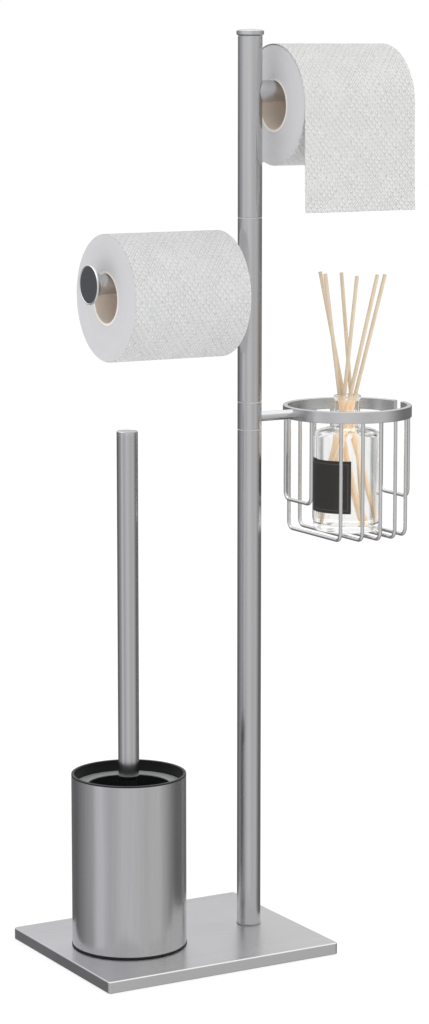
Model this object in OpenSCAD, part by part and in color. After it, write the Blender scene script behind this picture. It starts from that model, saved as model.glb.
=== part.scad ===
// Free-standing bathroom stand: a weighted base, a pole in four sections of which three turn,
// two arms with toilet rolls, a wire basket with a reed diffuser, and a toilet brush in its cup.
// Millimetres and degrees. The origin is the middle of the underside, +Z is up, and +X runs
// along the base from the cup towards the pole.

/* [Base] */
// Length of the base plate
base_l = 236; // [220:1:260]
// Depth of the base plate
base_d = 190; // [170:1:220]
// Height of the base plate with its pad
base_h = 11; // [10:0.5:14]
// Radius of the plate's upright corners
base_corner_r = 3; // [2:0.5:8]
// Width of the bevel round the plate's top edge
base_bevel = 0.8; // [0.4:0.1:1]
// Thickness of the pressed cover
cover_t = 1.2; // [0.8:0.1:1.4]
// Thickness of the rubber pad under the base
pad_t = 1.5; // [1:0.1:1.8]
// Height of the cover's lower edge above the floor
skirt_gap = 0.5; // [0.2:0.1:0.8]

/* [Pole] */
// Distance from the middle of the base to the pole
pole_x = 79; // [70:1:90]
// Diameter of the pole
pole_d = 22; // [20:0.5:26]
// Wall of every tube in the pole
pole_t = 1.2; // [0.8:0.1:1.5]
// Thickness of the gasket under the pole
gasket_t = 1; // [0.8:0.1:2]
// How far the gasket stands out round the pole
gasket_lip = 0.3; // [0.2:0.1:1.5]
// Length of the fixed lower tube
lower_l = 463; // [440:1:480]
// Length of the collar that carries the basket
collar_l = 24.5; // [24:0.5:30]
// Length of the middle turning section
middle_l = 166; // [160:1:180]
// Length of the upper turning section
upper_l = 161; // [155:0.5:180]
// Height of the seam between two sections
seam_h = 0.5; // [0.4:0.05:0.8]
// Diameter of the rod that the sections turn on
spindle_d = 10; // [8:0.5:10]
// Diameter of the cap
cap_d = 24.6; // [23.5:0.1:28]
// Height of the cap
cap_h = 5.5; // [3:0.1:6]
// Height of the bevel under the cap
cap_bevel = 0.9; // [0.5:0.1:1.2]
// How far the middle of the cap stands above its edge
cap_crown = 0.6; // [0.3:0.1:0.8]

/* [Roll arms] */
// Height of a roll arm above the lower end of its section
arm_rise = 112; // [105:1:120]
// Distance from the pole's axis to the arm's end face
arm_reach = 164; // [160:1:175]
// Diameter of the arm
arm_d = 18; // [15:0.5:19]
// Wall of the arm's tube
arm_t = 1.2; // [0.8:0.1:1.5]
// Diameter of the shoulders at both ends of the arm
shoulder_d = 20; // [19.5:0.1:21]
// Distance from the pole's axis to the end of the inner shoulder
boss_reach = 22; // [18:0.5:23]
// Radius of the rounded edge of a shoulder
shoulder_round = 1; // [0.5:0.1:1]
// Diameter of the end stop
stop_d = 35; // [30:0.5:40]
// Thickness of the end stop's rim
stop_rim = 1.6; // [1:0.1:3]
// Length of the flare behind the rim
flare_l = 7.6; // [7.5:0.1:10]

/* [Toilet rolls] */
// Play of a roll between the two shoulders of its arm
roll_play = 15.8; // [11:0.1:30]
// Diameter of the roll on the middle arm
middle_roll_d = 113.4; // [90:0.1:118]
// Diameter of the roll on the upper arm, without its drawn sheet
upper_roll_d = 108.2; // [90:0.1:115]
// Distance from the pole's axis to the middle roll
middle_roll_gap = 31; // [26:0.5:32]
// Distance from the pole's axis to the upper roll
upper_roll_gap = 24.1; // [24:0.1:32]
// Outer diameter of a cardboard core
core_d = 48.4; // [46:0.1:52]
// Wall of a cardboard core
core_t = 2.4; // [1:0.1:2.6]
// Thickness of the drawn sheet
sheet_t = 0.6; // [0.4:0.1:1]
// Distance that the drawn sheet hangs below the middle of its roll
sheet_drop = 94; // [65:1:95]
// Turn of the roll that the drawn sheet covers
sheet_wrap = 250; // [120:5:260]

/* [Basket] */
// Distance from the pole's axis to the middle of the basket
basket_reach = 105; // [100:1:112]
// Outer diameter of the ring
ring_d = 119.5; // [112:0.5:128]
// Height of the ring
ring_h = 11; // [8:0.5:14]
// Thickness of the ring
ring_t = 4.5; // [4:0.1:6]
// Width of the opening in the ring
ring_gap = 12; // [8:0.5:14]
// Bevel on the ring's edges
ring_bevel = 0.5; // [0.2:0.1:0.8]
// Diameter of the basket's arm
basket_arm_d = 9; // [8:0.5:10]
// Height of the basket's arm above the lower end of the collar
basket_arm_rise = 10.5; // [10:0.5:12]
// Diameter of the basket's wires
wire_d = 3.4; // [3:0.1:3.8]
// Distance between two wires
wire_pitch = 17.6; // [16:0.1:18]
// Radius of the bends in a wire, at its middle line
wire_bend_r = 7; // [5:0.5:10]
// Depth of the five long wires below the ring
basket_depth = 108; // [95:1:115]
// Depth of the two short wires below the ring
short_depth = 76; // [60:0.5:90]

/* [Diffuser] */
// Diameter of the bottle
bottle_d = 62; // [58:0.5:66]
// Height of the bottle
bottle_h = 126; // [122:1:130]
// Height at which the bottle's side ends and its shoulder begins
bottle_side_h = 85; // [80:1:88]
// Height of the rounded shoulder
bottle_shoulder_h = 10; // [8:0.5:12]
// Outer diameter of the neck
neck_d = 23.6; // [23.4:0.1:26]
// Wall of the neck
neck_t = 1.9; // [1.5:0.1:2]
// How far the lip stands out round the neck
lip_out = 0.8; // [0.4:0.1:1.2]
// Height of the lip
lip_h = 3.5; // [2:0.1:5]
// Wall of the bottle
glass_t = 2.5; // [2:0.1:3]
// Thickness of the bottle's floor
glass_floor_t = 6; // [4:0.5:8]
// Radius of the bottle's lower edge
bottle_heel_r = 4; // [2:0.5:6]
// Height of the label
label_h = 49; // [40:1:52]
// Height of the label above the foot of the bottle
label_z = 19; // [16:1:24]
// Part of the bottle's turn that the label covers
label_turn = 106; // [80:1:130]
// Direction in which the label faces
label_face = 192; // [0:1:359]
// Thickness of the label
label_t = 0.2; // [0.1:0.05:0.3]
// Diameter of a reed
reed_d = 3.7; // [3:0.1:3.8]
// Length of the reeds, which differ a little
reed_l = 240; // [220:1:245]

/* [Cup] */
// Distance from the middle of the base to the cup's axis
cup_x = 47; // [40:1:55]
// Diameter of the cup
cup_d = 104; // [100:0.5:110]
// Height of the cup with its foot ring
cup_h = 159; // [150:1:165]
// Wall of the cup
cup_t = 1; // [0.8:0.1:1.2]
// Height of the cup's foot ring
foot_ring_t = 1.5; // [1:0.1:2]
// How far the foot ring stands out round the cup
foot_ring_lip = 0.4; // [0.2:0.1:0.8]
// Width of the foot ring
foot_ring_w = 12; // [8:1:20]
// Wall of the black lining
lining_t = 1.6; // [1.2:0.1:2]
// Height of the lip with which the lining covers the cup's edge
lining_lip_h = 1.4; // [0.8:0.1:2]
// Distance from the cup's rim down to the liner's flange
flange_depth = 10; // [8:0.5:14]
// Thickness of the liner's flange
flange_t = 2.5; // [2:0.1:3]
// Width of the ledge under the flange
ledge_w = 4; // [3:0.5:6]
// Bore of the liner
liner_bore = 74; // [70:0.5:80]
// Wall of the liner
liner_t = 1.5; // [1:0.1:2]

/* [Brush] */
// Diameter of the handle
handle_d = 19; // [17:0.5:22]
// Wall of the handle's tube
handle_t = 1; // [0.8:0.1:1.2]
// How far the handle's tube ends above the pole's lower tube
handle_rise = 3; // [-20:0.5:12]
// Height of the handle's cap
handle_cap_h = 4; // [3:0.1:4.5]
// Bevel on the handle's cap
handle_bevel = 1; // [0.4:0.1:1.5]
// Diameter of the brush's stem
stem_d = 14.5; // [12:0.5:15]
// Length of the stem between the bristles and the handle
stem_l = 60.4; // [45:0.1:62]
// Height of the rounded foot of the handle's plug
handle_foot_h = 3; // [2:0.5:6]
// Diameter of the bristles
bristle_d = 66; // [60:0.5:67]
// Height of the bristles
bristle_h = 88; // [75:1:95]
// Radius of the bristles' lower edge
bristle_round = 14; // [10:0.5:16]

/* [Fasteners] */
// Diameter of the bolt that holds the pole
bolt_d = 8; // [6:0.5:8]
// Length of the bolt under its head
bolt_l = 25; // [22:1:28]
// Diameter of the bolt's head
bolt_head_d = 14; // [12:0.5:16]
// Height of the bolt's head
bolt_head_h = 3.6; // [3:0.1:4]
// Thickness of the bolt's washer
washer_t = 1.2; // [1:0.1:1.4]
// Diameter of the bolt's washer
washer_d = 18; // [17:0.5:20]
// Diameter of the screws that hold the roll arms and the cup
screw_d = 6; // [5:0.5:6]
// Diameter of those screws' heads
screw_head_d = 10; // [9:0.5:10.5]
// Height of the cup screw's head
screw_head_h = 3.3; // [2.5:0.1:3.5]
// Length of a roll arm's screw in its boss
arm_screw_l = 14; // [12:0.5:16]
// Diameter of the screw that holds the basket's arm
basket_screw_d = 5; // [4:0.5:5]
// Diameter of the head of the basket arm's screw
basket_screw_head_d = 8; // [7:0.5:8.5]
// Length of the basket arm's screw in the arm
basket_screw_l = 12; // [10:0.5:15]

/* [Hidden] */
$fn = 96;

// Clearances
fit_gap = 0.05; // between pieces that are pressed, screwed or welded together
run_gap = 0.06; // between the spindle and the bushes that turn on it
rest_gap = 0.3; // under a loose piece, and beside a piece that turns near another
hole_gap = 0.3; // round a screw's shank in a plain hole
over = 1; // how far a cutting tool runs past the piece that it cuts

// Base
weight_top = base_h - cover_t;
bolt_seat_t = 2; // iron left above the pocket for the bolt's head
pocket_top = weight_top - bolt_seat_t;
pocket_gap = 1; // between the washer and the side of its pocket
bolt_tip_z = pocket_top - washer_t + bolt_l;

// Pole, from the floor up
pole_r = pole_d / 2;
bore_r = pole_r - pole_t;
lower_z = base_h + gasket_t;
collar_z = lower_z + lower_l + seam_h;
middle_z = collar_z + collar_l + seam_h;
upper_z = middle_z + middle_l + seam_h;
cap_z = upper_z + upper_l + seam_h;
foot_plug_l = 28;
top_plug_l = 30;
plug_wall = 6; // metal left at the closed end of the top plug
bolt_tip_gap = 1;
washer_inset = 0.2; // of a seam washer inside the pole's outline
bush_l = 14;
collar_bush_l = 5;
cap_boss_d = 16;
cap_boss_l = 9;
cap_edge = 0.5; // rounding of the cap's upper edge
cap_socket = 1.4; // depth of the spindle's socket above the cap's foot

// Arms, from the pole's axis outwards
arm_r = arm_d / 2;
shoulder_r = shoulder_d / 2;
stop_r = stop_d / 2;
stop_bevel = 0.4;
stop_x = arm_reach - stop_rim - flare_l - shoulder_round; // end of the outer shoulder
flare_r = (flare_l * flare_l + pow(stop_r - shoulder_r, 2)) / (2 * (stop_r - shoulder_r));
spigot_l = 16; // of a boss or a stop inside the arm's tube
arm_screw_gap = 1; // beyond the screw's tip
head_t = 2.4; // of a screw's head inside a sleeve
middle_arm_z = middle_z + arm_rise;
upper_arm_z = upper_z + arm_rise;

// Rolls fill the arm but for their play, and hang with the inside of the core on top of it
roll_w = stop_x - boss_reach - roll_play;
core_bore_r = core_d / 2 - core_t;
roll_drop = core_bore_r - arm_r - rest_gap;
middle_roll_z = middle_arm_z - roll_drop;
upper_roll_z = upper_arm_z - roll_drop;
sheet_r = upper_roll_d / 2 + rest_gap;

// Basket, from its arm down
basket_x = pole_x + basket_reach;
basket_z = collar_z + basket_arm_rise;
ring_r = ring_d / 2;
wire_ring_r = ring_r - ring_t / 2;
wire_top = basket_z - ring_h / 2;
wire_count = 7;
wire_middle = (wire_count - 1) / 2;

// Diffuser, from the wires up
bottle_z = wire_top - basket_depth + wire_d / 2 + fit_gap;
bottle_r = bottle_d / 2;
bottle_bore_r = bottle_r - glass_t;
neck_r = neck_d / 2;
neck_bore_r = neck_r - neck_t;
neck_z = bottle_side_h + bottle_shoulder_h;
reed_r = reed_d / 2;
reed_gap = 0.25; // between a reed and the glass
crossing_h = 10; // of the reeds' narrowest place above the foot of the neck
reed_room = bottle_bore_r - reed_r - reed_gap;
reed_drop = neck_z + crossing_h - glass_floor_t;
neck_rise = bottle_h - neck_z - crossing_h;
crossing_r = sqrt(pow(neck_bore_r - reed_r - reed_gap, 2) - pow(neck_rise * reed_room / reed_drop, 2));
reed_slope = sqrt(pow(reed_room, 2) - pow(crossing_r, 2)) / reed_drop;
reed_turns = [350, 55, 120, 170, 215, 260]; // direction in which each reed leans
reed_slope_shares = [0.865, 0.746, 0.983, 0.986, 0.895, 1];
reed_l_shares = [0.983, 0.988, 1.002, 0.996, 0.992, 0.992];

// Cup, from the base up
cup_r = cup_d / 2;
shell_z = base_h + foot_ring_t;
cup_floor_z = shell_z + cup_t;
cup_top = base_h + cup_h;
lip_edge = 0.3; // bevel on the lip's edges
lining_r = cup_r - cup_t - fit_gap;
lining_bore_r = lining_r - lining_t;
flange_z = cup_top - flange_depth - flange_t;
flange_r = lining_bore_r - rest_gap;
ledge_h = 3;
liner_r = liner_bore / 2 + liner_t;
liner_clear = 1; // between the cup screw's head and the liner
liner_z = cup_floor_z + screw_head_h + liner_clear;
screw_tip = 1; // of the cup screw above the pad

// Brush, from the liner's floor up
brush_z = liner_z + liner_t + rest_gap;
stem_z = brush_z + bristle_round;
handle_z = brush_z + bristle_h + stem_l;
handle_l = lower_z + lower_l + handle_rise - handle_z;
handle_r = handle_d / 2;
handle_bore_r = handle_r - handle_t;
handle_plug_l = 18; // of the plug inside the tube
stem_r = stem_d / 2;
stem_pin = 12; // of the stem inside the plug
stem_pin_d = 8;
cap_spigot_l = 8;

// Points on a quarter ellipse that starts beside its middle and ends above it
function quarter(x, z, rx, rz, steps = 12) =
    [for (i = [0 : steps]) [x + rx * cos(90 * i / steps), z + rz * sin(90 * i / steps)]];

// Points on the rounded lower edge of a round piece of radius r, from its foot outwards
function heel(r, round_r, steps) =
    [for (i = [1 : steps]) [r - round_r * (1 - sin(90 * i / steps)), round_r * (1 - cos(90 * i / steps))]];

module at_pole(z) translate([pole_x, 0, z]) children();

module at_middle(z) at_pole(z) rotate([0, 0, 180]) children();

module at_cup(z) translate([-cup_x, 0, z]) children();

module at_basket(z) translate([basket_x, 0, z]) children();

module along_x(x = 0) translate([x, 0, 0]) rotate([0, 90, 0]) children();

module tube(l, r, t) difference() {
    cylinder(h = l, r = r);
    translate([0, 0, -over]) cylinder(h = l + 2 * over, r = r - t);
}

module plate_outline(inset) {
    r = max(base_corner_r - inset, base_bevel / 2);
    l = base_l - 2 * inset;
    d = base_d - 2 * inset;
    square([l - 2 * r, d], center = true);
    square([l, d - 2 * r], center = true);
    for (x = [-1, 1], y = [-1, 1])
        translate([x * (l / 2 - r), y * (d / 2 - r)]) circle(r, $fn = 32);
}

module base_cover() color("silver") difference() {
    hull() {
        translate([0, 0, skirt_gap]) linear_extrude(base_h - base_bevel - skirt_gap) plate_outline(0);
        translate([0, 0, skirt_gap]) linear_extrude(base_h - skirt_gap) plate_outline(base_bevel);
    }
    linear_extrude(weight_top) plate_outline(cover_t);
    at_pole(0) cylinder(h = base_h + over, r = bolt_d / 2 + hole_gap);
    at_cup(0) cylinder(h = base_h + over, r = screw_d / 2 + hole_gap);
}

module base_weight() color("dimgray") difference() {
    translate([0, 0, pad_t]) linear_extrude(weight_top - pad_t) plate_outline(cover_t + rest_gap);
    at_pole(0) cylinder(h = base_h, r = bolt_d / 2 + hole_gap);
    at_pole(0) cylinder(h = pocket_top, r = washer_d / 2 + pocket_gap);
    at_cup(0) cylinder(h = base_h, r = screw_d / 2 + fit_gap);
}

module anti_slip_pad() color("black")
    linear_extrude(pad_t) plate_outline(cover_t + rest_gap);

module pole_bolt() color("lightgray") at_pole(pocket_top - washer_t) {
    cylinder(h = bolt_l, r = bolt_d / 2);
    translate([0, 0, -bolt_head_h]) cylinder(h = bolt_head_h, r = bolt_head_d / 2);
}

module pole_bolt_washer() color("lightgray") at_pole(pocket_top - washer_t)
    tube(washer_t, washer_d / 2, (washer_d - bolt_d) / 2 - hole_gap);

module foot_gasket() color("black") at_pole(base_h)
    tube(gasket_t, pole_r + gasket_lip, pole_r + gasket_lip - bolt_d / 2 - hole_gap);

module foot_plug() color("gray") at_pole(lower_z) difference() {
    cylinder(h = foot_plug_l, r = bore_r - fit_gap);
    translate([0, 0, -over])
        cylinder(h = bolt_tip_z + bolt_tip_gap - lower_z + over, r = bolt_d / 2 + fit_gap);
}

module lower_tube() color("silver") at_pole(lower_z) tube(lower_l, pole_r, pole_t);

module top_plug() color("gray") at_pole(lower_z + lower_l - top_plug_l) difference() {
    cylinder(h = top_plug_l, r = bore_r - fit_gap);
    translate([0, 0, plug_wall]) cylinder(h = top_plug_l, r = spindle_d / 2 + fit_gap);
}

module spindle() color("lightgray") {
    foot = lower_z + lower_l - top_plug_l + plug_wall + fit_gap;
    at_pole(foot) cylinder(h = cap_z + cap_socket - fit_gap - foot, r = spindle_d / 2);
}

module seam_washer(z, bore) color("white") at_pole(z - seam_h + fit_gap)
    tube(seam_h - 2 * fit_gap, pole_r - washer_inset, pole_r - washer_inset - bore);

module lower_seam_washer() seam_washer(collar_z, spindle_d / 2 + run_gap);

module middle_seam_washer() seam_washer(middle_z, spindle_d / 2 + run_gap);

module upper_seam_washer() seam_washer(upper_z, spindle_d / 2 + run_gap);

module top_washer() seam_washer(cap_z, cap_boss_d / 2 + run_gap);

module pole_cap() color("silver") at_pole(cap_z) difference() {
    union() {
        rotate_extrude() polygon([[0, 0], [pole_r, 0], [cap_d / 2, cap_bevel],
            [cap_d / 2, cap_h - cap_crown - cap_edge], [cap_d / 2 - cap_edge, cap_h - cap_crown],
            [cap_d / 4, cap_h - cap_crown / 4], [0, cap_h]]);
        translate([0, 0, -cap_boss_l]) cylinder(h = cap_boss_l + cap_bevel, r = cap_boss_d / 2);
    }
    translate([0, 0, -cap_boss_l - over])
        cylinder(h = cap_boss_l + over + cap_socket, r = spindle_d / 2 + fit_gap);
}

// A turning section of the pole, with a hole for the screw of its arm
module sleeve(l, rise, hole_d) color("silver") difference() {
    tube(l, pole_r, pole_t);
    translate([0, 0, rise]) along_x() cylinder(h = pole_d, r = hole_d / 2 + hole_gap);
}

module bush(l) color("white")
    tube(l, bore_r - fit_gap, bore_r - fit_gap - spindle_d / 2 - run_gap);

// A screw that sits inside a sleeve and holds an arm from within
module arm_screw(d, head_d, l) color("lightgray") {
    intersection() {
        along_x(bore_r - head_t) cylinder(h = head_t, r = head_d / 2);
        translate([0, 0, -head_d]) cylinder(h = 2 * head_d, r = bore_r - fit_gap);
    }
    along_x(bore_r - head_t) cylinder(h = head_t + pole_t + l, r = d / 2);
}

module arm_boss() color("silver") difference() {
    along_x() {
        cylinder(h = boss_reach - shoulder_round, r = shoulder_r);
        rotate_extrude() polygon(concat([[0, 0]],
            quarter(shoulder_r - shoulder_round, boss_reach - shoulder_round,
                shoulder_round, shoulder_round, 5),
            [[0, boss_reach]]));
        cylinder(h = boss_reach + spigot_l, r = arm_r - arm_t - fit_gap);
    }
    translate([0, 0, -shoulder_d]) cylinder(h = 2 * shoulder_d, r = pole_r + fit_gap);
    along_x() cylinder(h = pole_r + arm_screw_l + arm_screw_gap, r = screw_d / 2 + fit_gap);
}

module arm_tube() color("silver") along_x(boss_reach + fit_gap)
    tube(stop_x - boss_reach - 2 * fit_gap, arm_r, arm_t);

// The trumpet-shaped end of an arm: shoulder, hollow flare, rim and flat face
module arm_stop() color("gray") along_x(stop_x) {
    rotate_extrude() difference() {
        polygon(concat([[0, shoulder_round], [shoulder_r - shoulder_round, 0]],
            heel(shoulder_r, shoulder_round, 5),
            [[stop_r, shoulder_round], [stop_r, arm_reach - stop_x - stop_bevel],
             [stop_r - stop_bevel, arm_reach - stop_x], [0, arm_reach - stop_x]]));
        translate([shoulder_r + flare_r, shoulder_round]) circle(flare_r);
    }
    translate([0, 0, -spigot_l])
        cylinder(h = spigot_l + shoulder_round, r = arm_r - arm_t - fit_gap);
}

module roll_core() color("tan") along_x() tube(roll_w, core_d / 2, core_t);

module roll_paper(d) color("whitesmoke") along_x()
    tube(roll_w, d / 2, d / 2 - core_d / 2 - fit_gap);

// The sheet drawn from the upper roll: it goes round the roll and hangs down in front
module hanging_sheet() color("white") at_pole(upper_roll_z) translate([upper_roll_gap, 0, 0])
    rotate([90, 0, 90]) linear_extrude(roll_w) {
        difference() {
            circle(sheet_r + sheet_t);
            circle(sheet_r);
            bare = 360 - sheet_wrap;
            polygon(concat([[0, 0]], [for (turn = [180, 180 + bare / 2, 180 + bare])
                upper_roll_d * [cos(turn), sin(turn)]]));
        }
        translate([-sheet_r - sheet_t, -sheet_drop]) square([sheet_t, sheet_drop]);
    }

module collar_sleeve() at_pole(collar_z) sleeve(collar_l, basket_arm_rise, basket_screw_d);

module collar_bushes() at_pole(collar_z) {
    bush(collar_bush_l);
    translate([0, 0, collar_l - collar_bush_l]) bush(collar_bush_l);
}

module middle_sleeve() at_middle(middle_z) sleeve(middle_l, arm_rise, screw_d);

module middle_bushes() at_pole(middle_z) {
    bush(bush_l);
    translate([0, 0, middle_l - bush_l]) bush(bush_l);
}

module upper_sleeve() at_pole(upper_z) sleeve(upper_l, arm_rise, screw_d);

module upper_bushes() at_pole(upper_z) {
    bush(bush_l);
    translate([0, 0, upper_l - cap_boss_l - bush_l]) bush(bush_l);
}

module middle_arm_boss() at_middle(middle_arm_z) arm_boss();

module middle_arm_screw() at_middle(middle_arm_z) arm_screw(screw_d, screw_head_d, arm_screw_l);

module middle_arm_tube() at_middle(middle_arm_z) arm_tube();

module middle_arm_stop() at_middle(middle_arm_z) arm_stop();

module upper_arm_boss() at_pole(upper_arm_z) arm_boss();

module upper_arm_screw() at_pole(upper_arm_z) arm_screw(screw_d, screw_head_d, arm_screw_l);

module upper_arm_tube() at_pole(upper_arm_z) arm_tube();

module upper_arm_stop() at_pole(upper_arm_z) arm_stop();

module middle_roll_core() at_middle(middle_roll_z) translate([middle_roll_gap, 0, 0]) roll_core();

module middle_roll_paper()
    at_middle(middle_roll_z) translate([middle_roll_gap, 0, 0]) roll_paper(middle_roll_d);

module upper_roll_core() at_pole(upper_roll_z) translate([upper_roll_gap, 0, 0]) roll_core();

module upper_roll_paper()
    at_pole(upper_roll_z) translate([upper_roll_gap, 0, 0]) roll_paper(upper_roll_d);

module basket_arm() color("silver") difference() {
    at_pole(basket_z) along_x() cylinder(h = basket_reach, r = basket_arm_d / 2);
    at_pole(basket_z - basket_arm_d) cylinder(h = 2 * basket_arm_d, r = pole_r + fit_gap);
    at_basket(basket_z - basket_arm_d) cylinder(h = 2 * basket_arm_d, r = ring_r + fit_gap);
    at_pole(basket_z) along_x()
        cylinder(h = pole_r + basket_screw_l + arm_screw_gap, r = basket_screw_d / 2 + fit_gap);
}

module basket_arm_screw()
    at_pole(basket_z) arm_screw(basket_screw_d, basket_screw_head_d, basket_screw_l);

module basket_ring() color("silver") at_basket(wire_top) difference() {
    rotate_extrude() polygon([
        [ring_r - ring_t, ring_bevel], [ring_r - ring_t + ring_bevel, 0],
        [ring_r - ring_bevel, 0], [ring_r, ring_bevel],
        [ring_r, ring_h - ring_bevel], [ring_r - ring_bevel, ring_h],
        [ring_r - ring_t + ring_bevel, ring_h], [ring_r - ring_t, ring_h - ring_bevel]]);
    translate([0, -ring_gap / 2, -over]) cube([ring_d, ring_gap, ring_h + 2 * over]);
}

// One U-shaped wire, number i of the row, from the underside of the ring
module basket_wire(i) color("silver") {
    x = (i - wire_middle) * wire_pitch;
    end = i == 0 || i == wire_count - 1;
    depth = end ? short_depth : basket_depth;
    leg_y = sqrt(pow(wire_ring_r, 2) - x * x);
    translate([basket_x + x, 0, wire_top]) {
        for (side = [-1, 1]) {
            translate([0, side * leg_y, wire_bend_r - depth])
                cylinder(h = depth - wire_bend_r - fit_gap, r = wire_d / 2);
            translate([0, side * (leg_y - wire_bend_r), wire_bend_r - depth])
                rotate([90, 0, 90]) rotate([0, 0, side > 0 ? -90 : 180])
                    rotate_extrude(angle = 90) translate([wire_bend_r, 0]) circle(wire_d / 2);
        }
        translate([0, wire_bend_r - leg_y, -depth]) rotate([-90, 0, 0])
            cylinder(h = 2 * (leg_y - wire_bend_r), r = wire_d / 2);
    }
}

module bottle() color("lightcyan", 0.4) at_basket(bottle_z) difference() {
    rotate_extrude() polygon(concat([[0, 0], [bottle_r - bottle_heel_r, 0]],
        heel(bottle_r, bottle_heel_r, 6),
        quarter(neck_r, bottle_side_h, bottle_r - neck_r, bottle_shoulder_h),
        [[neck_r, bottle_h - lip_h - lip_out], [neck_r + lip_out, bottle_h - lip_h],
         [neck_r + lip_out, bottle_h - lip_out], [neck_r, bottle_h], [0, bottle_h]]));
    rotate_extrude() polygon(concat([[0, glass_floor_t], [bottle_bore_r, glass_floor_t]],
        quarter(neck_bore_r, bottle_side_h, bottle_bore_r - neck_bore_r, bottle_shoulder_h - glass_t),
        [[neck_bore_r, bottle_h + over], [0, bottle_h + over]]));
}

module bottle_label() color("darkslategray") at_basket(bottle_z + label_z)
    rotate([0, 0, label_face - label_turn / 2]) rotate_extrude(angle = label_turn)
        translate([bottle_r + fit_gap, 0]) square([label_t, label_h]);

// The reeds cross in the neck without touching, each tangent to one small circle
module reeds() color("burlywood") at_basket(bottle_z + neck_z + crossing_h)
    for (i = [0 : len(reed_turns) - 1]) {
        slope = reed_slope * reed_slope_shares[i];
        lean = atan(slope);
        foot = -(reed_drop - reed_r * sin(lean) - reed_gap) / cos(lean);
        rotate([0, 0, reed_turns[i]]) translate([crossing_r, 0, 0]) rotate([-lean, 0, 0])
            translate([0, 0, foot]) cylinder(h = reed_l * reed_l_shares[i], r = reed_r);
    }

module cup_foot_ring() color("black") at_cup(base_h)
    tube(foot_ring_t, cup_r + foot_ring_lip, foot_ring_w);

module cup_shell() color("silver") at_cup(shell_z) difference() {
    cylinder(h = cup_h - foot_ring_t - lining_lip_h, r = cup_r);
    translate([0, 0, cup_t]) cylinder(h = cup_h, r = cup_r - cup_t);
    translate([0, 0, -over]) cylinder(h = cup_h, r = screw_d / 2 + hole_gap);
}

// A black sleeve inside the cup, with a lip on the cup's edge and a ledge that the liner hangs on
module cup_lining() color("black") at_cup(0) rotate_extrude() polygon([
    [lining_r, cup_floor_z + fit_gap], [lining_r, cup_top - lining_lip_h + fit_gap],
    [cup_r, cup_top - lining_lip_h + fit_gap], [cup_r, cup_top - lip_edge],
    [cup_r - lip_edge, cup_top], [lining_bore_r + lip_edge, cup_top],
    [lining_bore_r, cup_top - lip_edge], [lining_bore_r, flange_z],
    [lining_bore_r - ledge_w, flange_z], [lining_bore_r - ledge_w, flange_z - ledge_h],
    [lining_bore_r, flange_z - ledge_h - ledge_w], [lining_bore_r, cup_floor_z + fit_gap]]);

module liner() color("gray") at_cup(0) rotate_extrude() polygon([
    [0, liner_z], [liner_r, liner_z], [liner_r, flange_z + fit_gap],
    [flange_r, flange_z + fit_gap], [flange_r, flange_z + flange_t],
    [liner_bore / 2, flange_z + flange_t], [liner_bore / 2, liner_z + liner_t],
    [0, liner_z + liner_t]]);

module cup_screw() color("lightgray") {
    at_cup(cup_floor_z) cylinder(h = screw_head_h, r = screw_head_d / 2);
    at_cup(pad_t + screw_tip) cylinder(h = cup_floor_z - pad_t - screw_tip, r = screw_d / 2);
}

module handle_tube() color("silver") at_cup(handle_z) tube(handle_l, handle_r, handle_t);

module handle_cap() color("silver") at_cup(handle_z + handle_l) {
    rotate_extrude() polygon([[0, 0], [handle_r, 0], [handle_r, handle_cap_h - handle_bevel],
        [handle_r - handle_bevel, handle_cap_h], [0, handle_cap_h]]);
    translate([0, 0, -cap_spigot_l]) cylinder(h = cap_spigot_l, r = handle_bore_r - fit_gap);
}

module handle_plug() color("black") at_cup(handle_z) difference() {
    union() {
        cylinder(h = handle_plug_l, r = handle_bore_r - fit_gap);
        rotate_extrude() polygon(concat([[0, 0]],
            [for (i = [0 : 5]) [stem_r + (handle_r - stem_r) * cos(18 * i), -handle_foot_h * sin(18 * i)]],
            [[0, -handle_foot_h]]));
    }
    translate([0, 0, -handle_foot_h - over])
        cylinder(h = stem_pin + over, r = stem_pin_d / 2 + fit_gap);
}

// The stem runs through the bristles and ends in a pin inside the handle's plug
module brush_stem() color("black") {
    at_cup(stem_z) cylinder(h = handle_z - handle_foot_h - stem_z - fit_gap, r = stem_r);
    at_cup(handle_z - handle_foot_h - over) cylinder(h = stem_pin - fit_gap, r = stem_pin_d / 2);
}

module bristles() color("white") at_cup(brush_z) difference() {
    rotate_extrude() polygon(concat([[0, 0], [bristle_d / 2 - bristle_round, 0]],
        heel(bristle_d / 2, bristle_round, 6),
        [[bristle_d / 2, bristle_h], [0, bristle_h]]));
    translate([0, 0, bristle_round - fit_gap]) cylinder(h = bristle_h, r = stem_r + fit_gap);
}

base_cover();
base_weight();
anti_slip_pad();
pole_bolt();
pole_bolt_washer();
foot_gasket();
foot_plug();
lower_tube();
top_plug();
spindle();
lower_seam_washer();
middle_seam_washer();
upper_seam_washer();
top_washer();
pole_cap();
collar_sleeve();
collar_bushes();
basket_arm();
basket_arm_screw();
basket_ring();
basket_wire(0);  // basket_wire_1
basket_wire(1);  // basket_wire_2
basket_wire(2);  // basket_wire_3
basket_wire(3);  // basket_wire_4
basket_wire(4);  // basket_wire_5
basket_wire(5);  // basket_wire_6
basket_wire(6);  // basket_wire_7
middle_sleeve();
middle_bushes();
middle_arm_boss();
middle_arm_screw();
middle_arm_tube();
middle_arm_stop();
upper_sleeve();
upper_bushes();
upper_arm_boss();
upper_arm_screw();
upper_arm_tube();
upper_arm_stop();
middle_roll_core();
middle_roll_paper();
upper_roll_core();
upper_roll_paper();
hanging_sheet();
bottle();
bottle_label();
reeds();
cup_foot_ring();
cup_shell();
cup_lining();
liner();
cup_screw();
handle_tube();
handle_cap();
handle_plug();
brush_stem();
bristles();
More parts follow.
